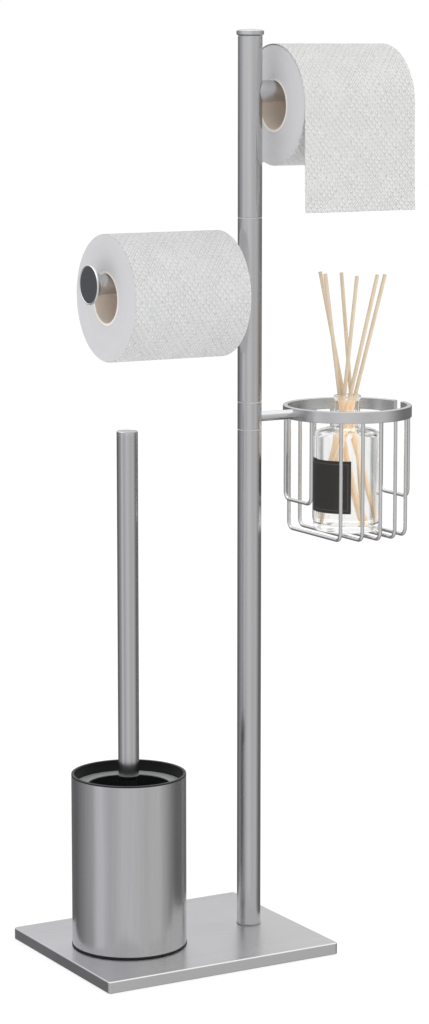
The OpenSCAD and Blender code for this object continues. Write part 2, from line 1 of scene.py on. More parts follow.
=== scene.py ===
"""Looks of a free-standing bathroom stand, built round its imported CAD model.

The stand has a weighted base, a pole in four sections of which three turn, two arms with toilet
rolls, a wire basket with a reed diffuser, and a toilet brush in its cup. Lengths are metres in
the frame's axes: the origin is the middle of the underside, +Z is up, and +X runs along the
base from the cup towards the pole. GAP is what lies between pieces whose meshes mustn't touch,
and what is nearer than NEAR counts as in the same place.
"""
import logging
import math
import random
from abc import ABC, abstractmethod
from collections.abc import Sequence
from dataclasses import dataclass, replace
from enum import Enum

import bmesh
import bpy
import numpy as np
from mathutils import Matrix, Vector


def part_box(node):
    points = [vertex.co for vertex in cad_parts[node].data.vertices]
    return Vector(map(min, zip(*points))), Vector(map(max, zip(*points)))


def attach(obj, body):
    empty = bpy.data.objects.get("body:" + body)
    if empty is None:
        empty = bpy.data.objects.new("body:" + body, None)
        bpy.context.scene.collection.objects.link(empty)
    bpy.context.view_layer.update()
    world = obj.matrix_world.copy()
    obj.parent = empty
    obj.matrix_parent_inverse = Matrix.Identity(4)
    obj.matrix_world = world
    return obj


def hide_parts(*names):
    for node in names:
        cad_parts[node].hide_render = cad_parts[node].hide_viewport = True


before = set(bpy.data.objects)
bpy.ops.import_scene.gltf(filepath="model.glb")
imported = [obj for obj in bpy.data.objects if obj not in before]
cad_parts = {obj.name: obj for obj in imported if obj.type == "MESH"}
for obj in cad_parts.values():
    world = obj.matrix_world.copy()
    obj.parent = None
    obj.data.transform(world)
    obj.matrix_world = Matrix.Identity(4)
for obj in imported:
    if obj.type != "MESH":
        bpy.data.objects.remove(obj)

LOG = logging.getLogger("stand")
MM = 0.001
GAP = 0.05 * MM
NEAR = 0.01 * MM
TAU = math.tau
SEED = 7

Colour = tuple[float, float, float, float]


def hexa(code: str) -> Colour:
    """Turns a screen colour such as #c8c8cc into the linear colour that renders as it."""
    shares = [int(code[i:i + 2], 16) / 255 for i in (1, 3, 5)]
    linear = [s / 12.92 if s <= 0.04045 else ((s + 0.055) / 1.055) ** 2.4 for s in shares]
    return linear[0], linear[1], linear[2], 1.0


def grey(level: float) -> Colour:
    """A grey of that brightness."""
    return level, level, level, 1.0


class Signal:
    """A shader socket that takes part in sums. Each operator adds the Math node it stands for."""

    def __init__(self, recipe: "Recipe", socket: bpy.types.NodeSocket) -> None:
        """Keeps the socket and the recipe that it belongs to."""
        self.recipe = recipe
        self.socket = socket

    def _math(self, operation: str, *values: "Signal | float") -> "Signal":
        """Adds a Math node that does this with the values, in order."""
        return self.recipe.add("Math", {"operation": operation}, dict(enumerate(values)))

    def __add__(self, other: "Signal | float") -> "Signal":
        """Adds the other value."""
        return self._math("ADD", self, other)

    def __radd__(self, other: float) -> "Signal":
        """Adds this signal to a number."""
        return self._math("ADD", other, self)

    def __sub__(self, other: "Signal | float") -> "Signal":
        """Takes the other value off."""
        return self._math("SUBTRACT", self, other)

    def __rsub__(self, other: float) -> "Signal":
        """Takes this signal off a number."""
        return self._math("SUBTRACT", other, self)

    def __mul__(self, other: "Signal | float") -> "Signal":
        """Multiplies by the other value."""
        return self._math("MULTIPLY", self, other)

    def __rmul__(self, other: float) -> "Signal":
        """Multiplies a number by this signal."""
        return self._math("MULTIPLY", other, self)

    def __truediv__(self, other: "Signal | float") -> "Signal":
        """Divides by the other value."""
        return self._math("DIVIDE", self, other)

    def __mod__(self, other: float) -> "Signal":
        """What is left after whole steps of the other value."""
        return self._math("FLOORED_MODULO", self, other)

    def __abs__(self) -> "Signal":
        """The size without its sign."""
        return self._math("ABSOLUTE", self)

    def most(self, other: "Signal | float") -> "Signal":
        """The larger of two values."""
        return self._math("MAXIMUM", self, other)

    def turn_from(self, other: "Signal") -> "Signal":
        """The angle of the point whose height is this signal and whose reach is the other."""
        return self._math("ARCTAN2", self, other)

    def ramp(self, low: float, high: float) -> "Signal":
        """Goes from 0 to 1 as this signal goes from low to high."""
        return self.recipe.add("MapRange", {}, {"Value": self, "From Min": low, "From Max": high})


Field = Signal | np.ndarray
Value = Signal | float | Sequence[float]


class Recipe:
    """The nodes of a material or of the world."""

    def __init__(self, owner: bpy.types.Material | bpy.types.World) -> None:
        """Starts with no nodes.

        Args:
            owner: The material or world that the nodes are for.
        """
        owner.use_nodes = True
        self.tree = owner.node_tree
        self.tree.nodes.clear()

    def add(self, kind: str, settings: dict[str, object] | None = None,
            inputs: dict[str | int, Value] | None = None, output: str | int = 0) -> Signal:
        """Adds a node.

        Args:
            kind: The node's type, without the word that all shader nodes start with.
            settings: What the node is set to first. The stops of a ramp are (place, grey) pairs.
            inputs: A value or a signal for each input socket, by name, identifier or number.
            output: The socket that is wanted.

        Returns:
            The wanted output.
        """
        node = self.tree.nodes.new("ShaderNode" + kind)
        for name, value in (settings or {}).items():
            if name == "stops":
                self._set_stops(node.color_ramp, value)
            else:
                setattr(node, name, value)
        for key, value in (inputs or {}).items():
            socket = self._socket(node, key)
            if isinstance(value, Signal):
                self.tree.links.new(value.socket, socket)
            else:
                socket.default_value = value
        return Signal(self, node.outputs[output])

    @staticmethod
    def _socket(node: bpy.types.Node, key: str | int) -> bpy.types.NodeSocket:
        """Finds an input socket.

        Args:
            node: The node.
            key: The socket's number, identifier or name.

        Returns:
            The socket.
        """
        if isinstance(key, int):
            return node.inputs[key]
        return next((s for s in node.inputs if s.identifier == key), None) or node.inputs[key]

    @staticmethod
    def _set_stops(band: bpy.types.ColorRamp, stops: Sequence[tuple[float, float]]) -> None:
        """Gives a ramp its stops.

        Args:
            band: The ramp.
            stops: The place and the grey of each stop.
        """
        while len(band.elements) < len(stops):
            band.elements.new(0.5)
        for element, (place, level) in zip(band.elements, stops):
            element.position = place
            element.color = grey(level)

    def mix(self, share: Signal, first: Value, second: Value) -> Signal:
        """Mixes two colours: only the first where the share is 0, only the second where it is 1."""
        return self.add("Mix", {"data_type": "RGBA"},
                        {"Factor_Float": share, "A_Color": first, "B_Color": second}, 2)

    def place(self, stretch: Sequence[float] = (1, 1, 1)) -> Signal:
        """The place of a point of the surface, stretched along the three axes."""
        spot = self.add("TexCoord", output="Object")
        return self.add("VectorMath", {"operation": "MULTIPLY"}, {0: spot, 1: stretch})

    def noise(self, at: Signal, scale: float, detail: float = 2) -> Signal:
        """Soft noise from 0 to 1 with scale waves in a metre, and finer layers over them."""
        return self.add("TexNoise", {}, {"Vector": at, "Scale": scale, "Detail": detail})

    def parts(self, vector: Signal) -> tuple[Signal, ...]:
        """The three numbers of a vector."""
        node = self.add("SeparateXYZ", {}, {"Vector": vector}).socket.node
        return tuple(Signal(self, socket) for socket in node.outputs)

    def flat(self) -> tuple[Signal, ...]:
        """The place on a surface that was laid out flat, along and across it, in metres."""
        spot = self.add("Attribute", {"attribute_name": Shape.FLAT}, output="Vector")
        return self.parts(spot)[:2]

    def ray(self, kind: str) -> Signal:
        """How the light that meets the surface has travelled."""
        return self.add("LightPath", output=kind)

    def bump(self, height: Signal, depth: float) -> Signal:
        """Turns a height from 0 to 1 into a slope of the surface that is depth metres deep."""
        return self.add("Bump", {}, {"Height": height, "Distance": depth})

    def output(self, shader: Signal) -> None:
        """Shows a shader on the surface."""
        world = any(n.bl_idname == "ShaderNodeBackground" for n in self.tree.nodes)
        self.add("OutputWorld" if world else "OutputMaterial", {}, {"Surface": shader}, slice(0))


def ramp(value: Field, low: float, high: float) -> Field:
    """Goes from 0 to 1 as a signal, or each number of an array, goes from low to high."""
    if isinstance(value, Signal):
        return value.ramp(low, high)
    return np.clip((value - low) / (high - low), 0, 1)


@dataclass(frozen=True)
class Quilting:
    """Embossing of toilet paper: rows of short dashes that lie on nested diamonds.

    Attributes:
        height: Height of a diamond, along the paper.
        width: Width of a diamond, across the paper.
        rings: Lines from the middle of a diamond to the middle of the next one.
        dashes: Dashes along half a side of a diamond.
        depth: Height of a dash above the paper.
    """

    height: float = 37.7 * MM
    width: float = 32 * MM
    rings: float = 3
    dashes: float = 2.5
    depth: float = 0.12 * MM

    def relief(self, along: Field, across: Field) -> Field:
        """Height of the embossing from 0 to 1.

        Args:
            along: Places along the paper.
            across: Places across it.

        Returns:
            The height at each place.
        """
        up = abs((along / self.height) % 1 - 0.5) * 2
        side = abs((across / self.width) % 1 - 0.5) * 2
        line = abs(((up + side) * self.rings) % 1 - 0.5) * 2
        dash = abs(((up - side) * self.dashes) % 1 - 0.5) * 2
        return ramp(line, 0.35, 0.8) * ramp(dash, 0.05, 0.22)

    def round(self, girth: float) -> "Quilting":
        """The same embossing with whole diamonds round a roll of that girth."""
        return replace(self, height=girth / round(girth / self.height))


QUILTING = Quilting()


class Grain(Enum):
    """Direction in which steel was brushed, as the stretch of its streaks along X, Y and Z."""

    LENGTHWISE = (0.03, 1.0, 1.0)
    UPRIGHT = (1.0, 1.0, 0.03)
    ROUND = (0.08, 0.08, 1.0)


@dataclass(frozen=True)
class Finish(ABC):
    """What a surface is made of.

    Attributes:
        name: Name of the finish.
        slot: The record's material slot that it belongs to.
        colour: Its main colour.
        roughness: Its roughness.
    """

    name: str
    slot: str
    colour: Colour
    roughness: float

    def scaled(self, *shares: float) -> Colour:
        """The main colour times one share, or times a share each for red, green and blue."""
        red, green, blue = (min(1.0, c * s) for c, s in zip(self.colour[:3], shares * 3))
        return red, green, blue, 1.0

    @abstractmethod
    def paint(self, recipe: Recipe) -> dict[str | int, Value]:
        """Works out what varies over the surface.

        Args:
            recipe: Where the nodes go.

        Returns:
            The inputs of the main shader.
        """

    def show(self, recipe: Recipe, shader: Signal) -> None:
        """Puts the main shader on the surface."""
        recipe.output(shader)

    def material(self) -> bpy.types.Material:
        """The finish as a Blender material, which is made once."""
        name = "look_" + self.name
        made = bpy.data.materials.get(name)
        if made is None:
            made = bpy.data.materials.new(name)
            recipe = Recipe(made)
            inputs = {"Base Color": self.colour, "Roughness": self.roughness}
            inputs.update(self.paint(recipe))
            self.show(recipe, recipe.add("BsdfPrincipled", {}, inputs))
        return made


@dataclass(frozen=True)
class Steel(Finish):
    """Stainless steel, brushed or polished.

    Attributes:
        grain: Direction in which it was brushed.
        streak: How much the brushing changes its colour and roughness.
        depth: Depth of the brushing.
        smudge: How much its roughness varies where it was handled.
    """

    grain: Grain = Grain.UPRIGHT
    streak: float = 0.12
    depth: float = 0.012 * MM
    smudge: float = 0.05

    def paint(self, recipe: Recipe) -> dict[str | int, Value]:
        """Lays fine streaks over wider, softer ones, and faint clouds where it was handled."""
        spot = recipe.place(self.grain.value)
        fine = recipe.noise(spot, 1400, 3)
        wide = recipe.noise(spot, 190)
        bands = recipe.noise(spot, 42, 1)
        clouds = recipe.noise(recipe.place(), 14, 0)
        streaks = fine * 0.2 + wide * 0.3 + bands * 0.5 - 0.5
        return {
            "Base Color": recipe.mix((streaks + 0.5).ramp(0.3, 0.7), self.scaled(1 - self.streak),
                                     self.scaled(1 + self.streak)),
            "Roughness": self.roughness + streaks * self.streak + (clouds - 0.5) * self.smudge,
            "Metallic": 1.0,
            "Normal": recipe.bump(fine, self.depth),
        }


@dataclass(frozen=True)
class Moulded(Finish):
    """Moulded plastic, nylon or rubber.

    Attributes:
        grit: Depth of its fine grain.
        shine: How strongly it reflects, where 0.5 is plain.
    """

    grit: float = 0.02 * MM
    shine: float = 0.5

    def paint(self, recipe: Recipe) -> dict[str | int, Value]:
        """Gives it an eroded grain and slightly uneven gloss and colour."""
        spot = recipe.place()
        grain = recipe.noise(spot, 1100, 3)
        clouds = recipe.noise(spot, 40)
        return {
            "Base Color": recipe.mix(clouds.ramp(0.3, 0.7), self.scaled(0.88), self.colour),
            "Roughness": self.roughness + (grain - 0.5) * 0.14,
            "Specular IOR Level": self.shine,
            "Normal": recipe.bump(grain, self.grit),
        }


@dataclass(frozen=True)
class CastIron(Finish):
    """Rough cast iron with a dull coat of primer."""

    def paint(self, recipe: Recipe) -> dict[str | int, Value]:
        """Gives it the pitted skin of a sand casting."""
        spot = recipe.place()
        pits = recipe.noise(spot, 420, 4)
        patches = recipe.noise(spot, 60)
        rust = self.scaled(1.3, 0.95, 0.8)
        return {
            "Base Color": recipe.mix(patches.ramp(0.45, 0.7), self.colour, rust),
            "Roughness": self.roughness + (pits - 0.5) * 0.3,
            "Metallic": 0.6,
            "Normal": recipe.bump(pits, 0.12 * MM),
        }


@dataclass(frozen=True)
class Card(Finish):
    """Grey-brown winding card, with fibres and the seam of its spiral strip.

    Attributes:
        pitch: Width of the strip that the core is wound from, along the core.
        girth: Girth of the core.
        mottle: Brightness of its darker fibres.
    """

    pitch: float = 52 * MM
    girth: float = 140 * MM
    mottle: float = 0.84

    def paint(self, recipe: Recipe) -> dict[str | int, Value]:
        """Mixes darker fibres in and draws the spiral seam."""
        along, across = recipe.flat()
        fibres = recipe.noise(recipe.place(), 700, 4)
        seam = 1 - abs((across / self.pitch + along / self.girth) % 1 - 0.5).ramp(0.47, 0.5)
        brown = self.scaled(self.mottle, 0.98 * self.mottle, 0.95 * self.mottle)
        return {
            "Base Color": recipe.mix(fibres.ramp(0.35, 0.7), brown, self.colour),
            "Roughness": self.roughness + (fibres - 0.5) * 0.1,
            "Normal": recipe.bump(seam * 0.8 + fibres * 0.2, 0.15 * MM),
        }


@dataclass(frozen=True)
class Tissue(Finish):
    """Soft paper with quilted embossing.

    Attributes:
        quilting: Its embossing.
        shade: Brightness of the hollows between the dashes, which are darkened as painted shade.
        bulk: Height of the embossing and the crepe together.
    """

    quilting: Quilting = QUILTING
    shade: float = 0.8
    bulk: float = 1.05 * MM

    def paint(self, recipe: Recipe) -> dict[str | int, Value]:
        """Adds the embossing with its hollows darkened as painted shade, and the crepe and fibres
        between its dashes.
        """
        along, across = recipe.flat()
        relief = self.quilting.relief(along, across)
        crepe = recipe.noise(recipe.place(), 620, 3)
        soft = recipe.noise(recipe.place(), 55)
        # Painted shade in the embossing's hollows, with random mottling from the soft noise and the
        # crepe.
        tone = relief + (soft + crepe * 0.8 - 0.9)
        return {
            "Base Color": recipe.mix(tone.ramp(-0.1, 0.8), self.scaled(self.shade), self.colour),
            "Roughness": self.roughness + (crepe - 0.5) * 0.1,
            "Sheen Weight": 0.15,
            "Normal": recipe.bump(relief * 0.83 + crepe * 0.17, self.bulk),
        }


@dataclass(frozen=True)
class WoundEdge(Finish):
    """The cut end of a roll, where the edges of its layers show."""

    def paint(self, recipe: Recipe) -> dict[str | int, Value]:
        """Draws the layers as fine rings that the knife pressed together unevenly."""
        radius, turn = recipe.flat()
        spot = recipe.add("CombineXYZ", {}, {"X": radius, "Y": turn * 0.004})
        layers = recipe.noise(spot, 2600, 3)
        bands = recipe.noise(spot, 330)
        return {
            "Base Color": recipe.mix((layers * 0.5 + bands * 0.5).ramp(0.35, 0.65),
                                     self.scaled(0.955), self.colour),
            "Roughness": self.roughness,
            "Normal": recipe.bump(layers * 0.6 + bands * 0.4, 0.06 * MM),
        }


@dataclass(frozen=True)
class Glass(Finish):
    """Clear bottle glass, or the clear oil in it.

    Attributes:
        edge: How far the wall is turned away where a dark line is painted into its colour: painted
            shade for the edge of the inner wall, which bent light shows dark.
        bend: How strongly it bends light.
        line: Colour of that painted dark line.
        strength: How much of that colour the painted line takes on.
        clear: Tint of the light that goes straight through.
    """

    edge: float = 0.43
    bend: float = 1.5
    line: Colour = (0.3, 0.31, 0.31, 1.0)
    strength: float = 0.72
    clear: Colour = (0.98, 0.985, 0.982, 1.0)

    def paint(self, recipe: Recipe) -> dict[str | int, Value]:
        """Gives the blown wall its faint waves, and paints a dark line into it as shade where it
        turns away.
        """
        waves = recipe.noise(recipe.place((1, 1, 0.35)), 45)
        facing = recipe.add("LayerWeight", {}, {"Blend": 0.5}, "Facing")
        upright = recipe.parts(recipe.add("NewGeometry", output="Normal"))[2]
        # Painted shade: a dark line where the wall turns away by the edge value, on upright walls
        # only.
        edge = (1 - abs(facing - self.edge).ramp(0.03, 0.1)) * (1 - abs(upright).ramp(0.05, 0.3))
        return {
            "Base Color": recipe.mix(edge * self.strength, self.colour, self.line),
            "Transmission Weight": 1.0,
            "IOR": self.bend,
            "Normal": recipe.bump(waves, 0.25 * MM),
        }

    def show(self, recipe: Recipe, shader: Signal) -> None:
        """Lets the lamps through, and light that is caught between the walls, as it shows black."""
        shadow = recipe.ray("Is Shadow Ray")
        caught = recipe.ray("Ray Depth").ramp(4, 5)
        through = recipe.add("BsdfTransparent", {}, {"Color": self.clear})
        recipe.output(recipe.add("MixShader", {}, {0: shadow.most(caught), 1: shader, 2: through}))


@dataclass(frozen=True)
class Label(Finish):
    """A printed paper label with nothing on it but a thin border.

    Attributes:
        ink: Colour of the border.
        half: Half the label's width and half its height.
        inset: Distance of the border from the label's edge.
        line: Width of the border.
    """

    ink: Colour = (0.1, 0.095, 0.088, 1.0)
    half: tuple[float, float] = (28 * MM, 24 * MM)
    inset: float = 3 * MM
    line: float = 0.5 * MM

    def paint(self, recipe: Recipe) -> dict[str | int, Value]:
        """Draws the border on dark paper with a fine tooth."""
        along, across = recipe.flat()
        edge = (abs(along) - self.half[0]).most(abs(across) - self.half[1]) + self.inset
        border = 1 - abs(edge).ramp(0.4 * self.line, 0.7 * self.line)
        tooth = recipe.noise(recipe.place(), 1300, 3)
        paper = recipe.mix(tooth.ramp(0.3, 0.7), self.colour, self.scaled(1.25))
        return {
            "Base Color": recipe.mix(border, paper, self.ink),
            "Roughness": self.roughness + (tooth - 0.5) * 0.15,
            "Normal": recipe.bump(tooth, 0.03 * MM),
        }


@dataclass(frozen=True)
class Reed(Finish):
    """Pale rattan, with long fibres and open pores."""

    def paint(self, recipe: Recipe) -> dict[str | int, Value]:
        """Draws fibres along the reed, and pores among them."""
        along, around = recipe.flat()
        spot = recipe.add("CombineXYZ", {}, {"X": around, "Y": along * 0.04})
        fibres = recipe.noise(spot, 1500, 3)
        patches = recipe.noise(recipe.place(), 60)
        return {
            "Base Color": recipe.mix((fibres * 0.7 + patches * 0.3).ramp(0.35, 0.6),
                                     self.scaled(0.88, 0.84, 0.78), self.colour),
            "Roughness": self.roughness + (fibres - 0.5) * 0.2,
            "Normal": recipe.bump(fibres, 0.12 * MM),
        }


@dataclass(frozen=True)
class Bristle(Finish):
    """White nylon bristles."""

    def paint(self, recipe: Recipe) -> dict[str | int, Value]:
        """Greys the bristles a little, tuft by tuft."""
        tufts = recipe.noise(recipe.place(), 160)
        return {
            "Base Color": recipe.mix(tufts.ramp(0.35, 0.65), self.scaled(0.82), self.colour),
            "Roughness": self.roughness + (tufts - 0.5) * 0.1,
        }


STEEL = hexa("#cececf")
BRUSHED = Steel("brushed_steel", "brushed_steel", STEEL, 0.23, Grain.UPRIGHT, 0.07, 0.006 * MM)
BRUSHED_CUP = Steel("brushed_cup", "brushed_steel", STEEL, 0.24, Grain.UPRIGHT, 0.1, 0.006 * MM)
BRUSHED_HANDLE = Steel("brushed_handle", "brushed_steel", STEEL, 0.17, Grain.UPRIGHT, 0.05,
                       0.004 * MM)
BRUSHED_PLATE = Steel("brushed_plate", "brushed_steel", STEEL, 0.27, Grain.LENGTHWISE, 0.04,
                      0.003 * MM, 0.2)
BRUSHED_RING = Steel("brushed_ring", "brushed_steel", hexa("#d8d8d8"), 0.26, Grain.ROUND, 0.05,
                     0.005 * MM)
POLISHED = Steel("polished_steel", "polished_steel", hexa("#d4d5d6"), 0.2, Grain.LENGTHWISE, 0.05,
                 0.004 * MM)
SATIN = Steel("satin_steel", "polished_steel", hexa("#d4d5d6"), 0.29, Grain.LENGTHWISE, 0.04,
              0.004 * MM)
# Painted reflection: the stop's face is a darker steel than the rest, standing in for the dark room
# that it mirrors.
DISC_PAINTED_DARK = Steel("stop_disc", "polished_steel", hexa("#a8aaaf"), 0.17, Grain.UPRIGHT, 0.03, 0.004 * MM)
# Painted highlight: the bead round the stop's face is near-white steel.
BEAD_PAINTED_HIGHLIGHT = Steel("stop_bead", "polished_steel", hexa("#f6f6f6"), 0.24, Grain.UPRIGHT, 0.02, 0.004 * MM)
WIRE_STEEL = Steel("wire_steel", "polished_steel", hexa("#e6e6e6"), 0.24, Grain.UPRIGHT, 0.02,
                   0.002 * MM)
ZINC = Steel("zinc_steel", "zinc_steel", hexa("#b8bbc0"), 0.35, Grain.ROUND, 0.1)
IRON = CastIron("ballast_iron", "ballast_iron", hexa("#4a4847"), 0.7)
RUBBER = Moulded("black_rubber", "black_rubber", hexa("#1b1b1c"), 0.72, 0.04 * MM, 0.4)
GASKET = Moulded("pole_gasket", "black_rubber", hexa("#a2a4a6"), 0.6, 0.02 * MM)
NYLON = Moulded("white_nylon", "white_nylon", hexa("#dcdad4"), 0.42)
GREY_NYLON = Moulded("grey_nylon", "white_nylon", hexa("#6e6f70"), 0.42)
BLACK = Moulded("black_plastic", "black_plastic", hexa("#1b1c1d"), 0.42, shine=0.36)
GREY = Moulded("grey_plastic", "grey_plastic", hexa("#a5a6a7"), 0.46)
# Painted light: the core card is near white, much paler than real core card, so that the shaded
# inside of the core renders light.
LIGHTENED_CARD = Card("card_core", "card_core", hexa("#fff3e8"), 0.88, mottle=0.92)
CARD_EDGE = Card("card_edge", "card_core", hexa("#fffaf4"), 0.85, mottle=0.97)
TISSUE = Tissue("wound_tissue", "wound_tissue", hexa("#e8e8e8"), 0.92)
# Painted shade: the cut ends of the rolls are coloured a little darker than the wound paper; their
# rings of layers are real.
SHADED_LAYERS = WoundEdge("wound_edge", "wound_tissue", hexa("#e0dfe2"), 0.95)
SHEET = Tissue("tissue_sheet", "tissue_sheet", hexa("#ebebea"), 0.92)
GLASS = Glass("clear_glass", "clear_glass", (0.997, 1.0, 0.998, 1), 0.0)
OIL = Glass("fragrance_oil", "clear_glass", (1.0, 0.998, 0.99, 1), 0.0, bend=1.42)
LABEL = Label("charcoal_label", "charcoal_label", hexa("#2c2927"), 0.62)
REED = Reed("pale_reed", "pale_reed", hexa("#e8d7bf"), 0.75)
# Painted light: the lower halves of the reeds, which stand in the oil, are paler than the rest to
# make up for the light that glass and oil hold back.
REED_FOOT_PAINTED_LIGHT = Reed("oiled_reed", "pale_reed", hexa("#fee5c5"), 0.6)
BRISTLE = Bristle("white_bristle", "white_bristle", hexa("#e9e9e6"), 0.45)


class Way(Enum):
    """How a turned piece lies: its axis, and the two directions across it."""

    UP = ((0, 0, 1), (1, 0, 0), (0, 1, 0))
    RIGHT = ((1, 0, 0), (0, 1, 0), (0, 0, 1))
    LEFT = ((-1, 0, 0), (0, 1, 0), (0, 0, 1))


@dataclass(frozen=True)
class Place:
    """The box of a CAD node at rest.

    Attributes:
        low: Its lowest corner.
        high: Its highest corner.
    """

    low: Vector
    high: Vector

    @classmethod
    def of(cls, node: str) -> "Place":
        """The place of a CAD node."""
        return cls(*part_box(node))

    @property
    def middle(self) -> Vector:
        """The middle of the box."""
        return (self.low + self.high) / 2

    @property
    def foot(self) -> Vector:
        """The middle of the box's lowest face."""
        return Vector((self.middle.x, self.middle.y, self.low.z))

    @property
    def start(self) -> Vector:
        """The middle of the box's face towards -X."""
        return Vector((self.low.x, self.middle.y, self.middle.z))

    @property
    def size(self) -> Vector:
        """Its size along the three axes."""
        return self.high - self.low


def placed(name: str, data: bpy.types.ID) -> bpy.types.Object:
    """Puts an object with that data in the scene."""
    thing = bpy.data.objects.new(name, data)
    bpy.context.scene.collection.objects.link(thing)
    return thing


class Shape:
    """A mesh in the making, put together from nets of four-sided faces."""

    FLAT = "flat_place"
    WELD = 1e-6

    def __init__(self, name: str) -> None:
        """Starts with no faces.

        Args:
            name: Name of the piece.
        """
        self.name = name
        self.count = 0
        self.points: list[np.ndarray] = []
        self.faces: list[np.ndarray] = []
        self.kinds: list[np.ndarray] = []
        self.flats: list[np.ndarray] = []

    def net(self, rows: np.ndarray, ring: bool = True, loop: bool = False,
            kind: int | np.ndarray = 0, flat: np.ndarray | None = None) -> "Shape":
        """Adds a net of faces over rows of points.

        Args:
            rows: Its points, as rows of points of three numbers.
            ring: If the last point of a row is joined to its first one.
            loop: If the last row is joined to the first one.
            kind: The finish of its faces by number, one for all or one for each row.
            flat: Where the points lie when the surface is laid out flat, in pairs. It has one
                row or point more than the net where that closes.

        Returns:
            The shape itself.
        """
        count, width = rows.shape[:2]
        down, right = np.meshgrid(np.arange(count - (not loop)), np.arange(width - (not ring)),
                                  indexing="ij")
        corners = [(down, right), (down, right + 1), (down + 1, right + 1), (down + 1, right)]
        numbers = [(i % count) * width + j % width + self.count for i, j in corners]
        self.faces.append(np.stack(numbers, -1).reshape(-1, 4))
        self.kinds.append(np.broadcast_to(np.reshape(kind, (-1, 1)), down.shape).ravel())
        places = np.zeros((down.size, 4, 3), np.float32)
        if flat is not None:
            for k, (i, j) in enumerate(corners):
                places[:, k, :2] = flat[i, j].reshape(-1, 2)
        self.flats.append(places)
        self.points.append(rows.reshape(-1, 3))
        self.count += count * width
        return self

    def lid(self, edge: np.ndarray, kind: int = 0) -> "Shape":
        """Closes a flat opening with faces that meet in its middle."""
        middle = np.broadcast_to(edge.mean(0), edge.shape)
        return self.net(np.stack([edge, middle]), kind=kind)

    def make(self, body: str, finishes: Finish | Sequence[Finish], *nodes: str,
             sharp: float = 40, even: bool = True) -> bpy.types.Object:
        """Makes the piece, dresses it and seats it on its body.

        Args:
            body: The CAD body that it rides on.
            finishes: Its finish, or its finishes in the order of their numbers.
            nodes: The CAD nodes that it stands for.
            sharp: The least angle between two faces that shows as an edge, in degrees.
            even: If large faces are kept evenly lit up to their rounded edges.

        Returns:
            The piece.
        """
        mesh = bpy.data.meshes.new(self.name)
        mesh.from_pydata(np.concatenate(self.points).tolist(), [],
                         np.concatenate(self.faces).tolist())
        mesh.polygons.foreach_set("material_index", np.concatenate(self.kinds).astype(np.int32))
        flat = mesh.attributes.new(self.FLAT, "FLOAT_VECTOR", "CORNER")
        flat.data.foreach_set("vector", np.concatenate(self.flats).ravel())
        work = bmesh.new()
        work.from_mesh(mesh)
        bmesh.ops.remove_doubles(work, verts=work.verts, dist=self.WELD)
        bmesh.ops.recalc_face_normals(work, faces=work.faces)
        work.to_mesh(mesh)
        work.free()
        mesh.polygons.foreach_set("use_smooth", [True] * len(mesh.polygons))
        mesh.set_sharp_from_angle(angle=math.radians(sharp))
        piece = placed(self.name, mesh)
        chosen = [finishes] if isinstance(finishes, Finish) else list(finishes)
        for finish in chosen:
            mesh.materials.append(finish.material())
        if even:
            soften = piece.modifiers.new("even_light", "WEIGHTED_NORMAL")
            soften.keep_sharp = True
        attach(piece, body)
        if nodes:
            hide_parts(*nodes)
        LOG.info("%s: %d faces on %s", self.name, len(mesh.polygons), body)
        return piece


def dress(finish: Finish, *nodes: str) -> None:
    """Gives CAD nodes that keep their mesh their finish.

    Args:
        finish: The finish.
        nodes: The nodes.
    """
    for node in nodes:
        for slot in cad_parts[node].material_slots:
            slot.material = finish.material()
        LOG.info("%s: %s", node, finish.name)


Corner = tuple[float, ...]
Outline = list[tuple[float, float]]


def rounded(corners: Sequence[Corner], radius: float, steps: int = 4) -> Outline:
    """Rounds the corners of a closed outline.

    Args:
        corners: The corners. A third number gives a corner its own radius.
        radius: The radius of the others.
        steps: How many stretches each corner has.

    Returns:
        The rounded outline.
    """
    made: Outline = []
    most = 0.48
    for i, corner in enumerate(corners):
        here = Vector(corner[:2])
        back = Vector(corners[i - 1][:2]) - here
        ahead = Vector(corners[(i + 1) % len(corners)][:2]) - here
        half = back.angle(ahead) / 2
        wanted = corner[2] if len(corner) > 2 else radius
        reach = min(wanted / math.tan(half), most * back.length, most * ahead.length)
        if reach <= 0:
            made.append(tuple(here))
            continue
        centre = here + (back.normalized() + ahead.normalized()).normalized() * (
            reach / math.cos(half))
        first = here + back.normalized() * reach - centre
        last = here + ahead.normalized() * reach - centre
        start = math.atan2(first.y, first.x)
        turn = (math.atan2(last.y, last.x) - start + math.pi) % TAU - math.pi
        size = first.length
        made += [(centre.x + size * math.cos(start + turn * k / steps),
                  centre.y + size * math.sin(start + turn * k / steps)) for k in range(steps + 1)]
    return made


def bow(centre: Corner, radii: Corner, turn: Corner, steps: int) -> Outline:
    """Points on an arc of an ellipse, from the first angle to the second one in degrees."""
    angles = np.radians(np.linspace(turn[0], turn[1], steps + 1))
    return [(centre[0] + radii[0] * math.cos(a), centre[1] + radii[1] * math.sin(a))
            for a in angles]


def spun(outline: Sequence[Corner], foot: Vector, way: Way = Way.UP, steps: int = 128,
         turn: tuple[float, float] = (0.0, TAU)) -> np.ndarray:
    """Turns an outline about an axis.

    Args:
        outline: Points (distance from the axis, place along it).
        foot: Where the axis starts.
        way: How it lies.
        steps: How many points go round.
        turn: The angles at which it starts and ends. A whole turn leaves its last point out.

    Returns:
        A row of points for each point of the outline.
    """
    whole = turn[1] - turn[0] > TAU - 1e-6
    angles = np.linspace(turn[0], turn[1], steps + (not whole), endpoint=not whole)
    along, side, up = (np.array(v, float) for v in way.value)
    radius, place = np.array(outline, float)[:, :2].T
    spokes = np.cos(angles)[:, None] * side + np.sin(angles)[:, None] * up
    return (np.array(foot) + place[:, None, None] * along
            + radius[:, None, None] * spokes[None])


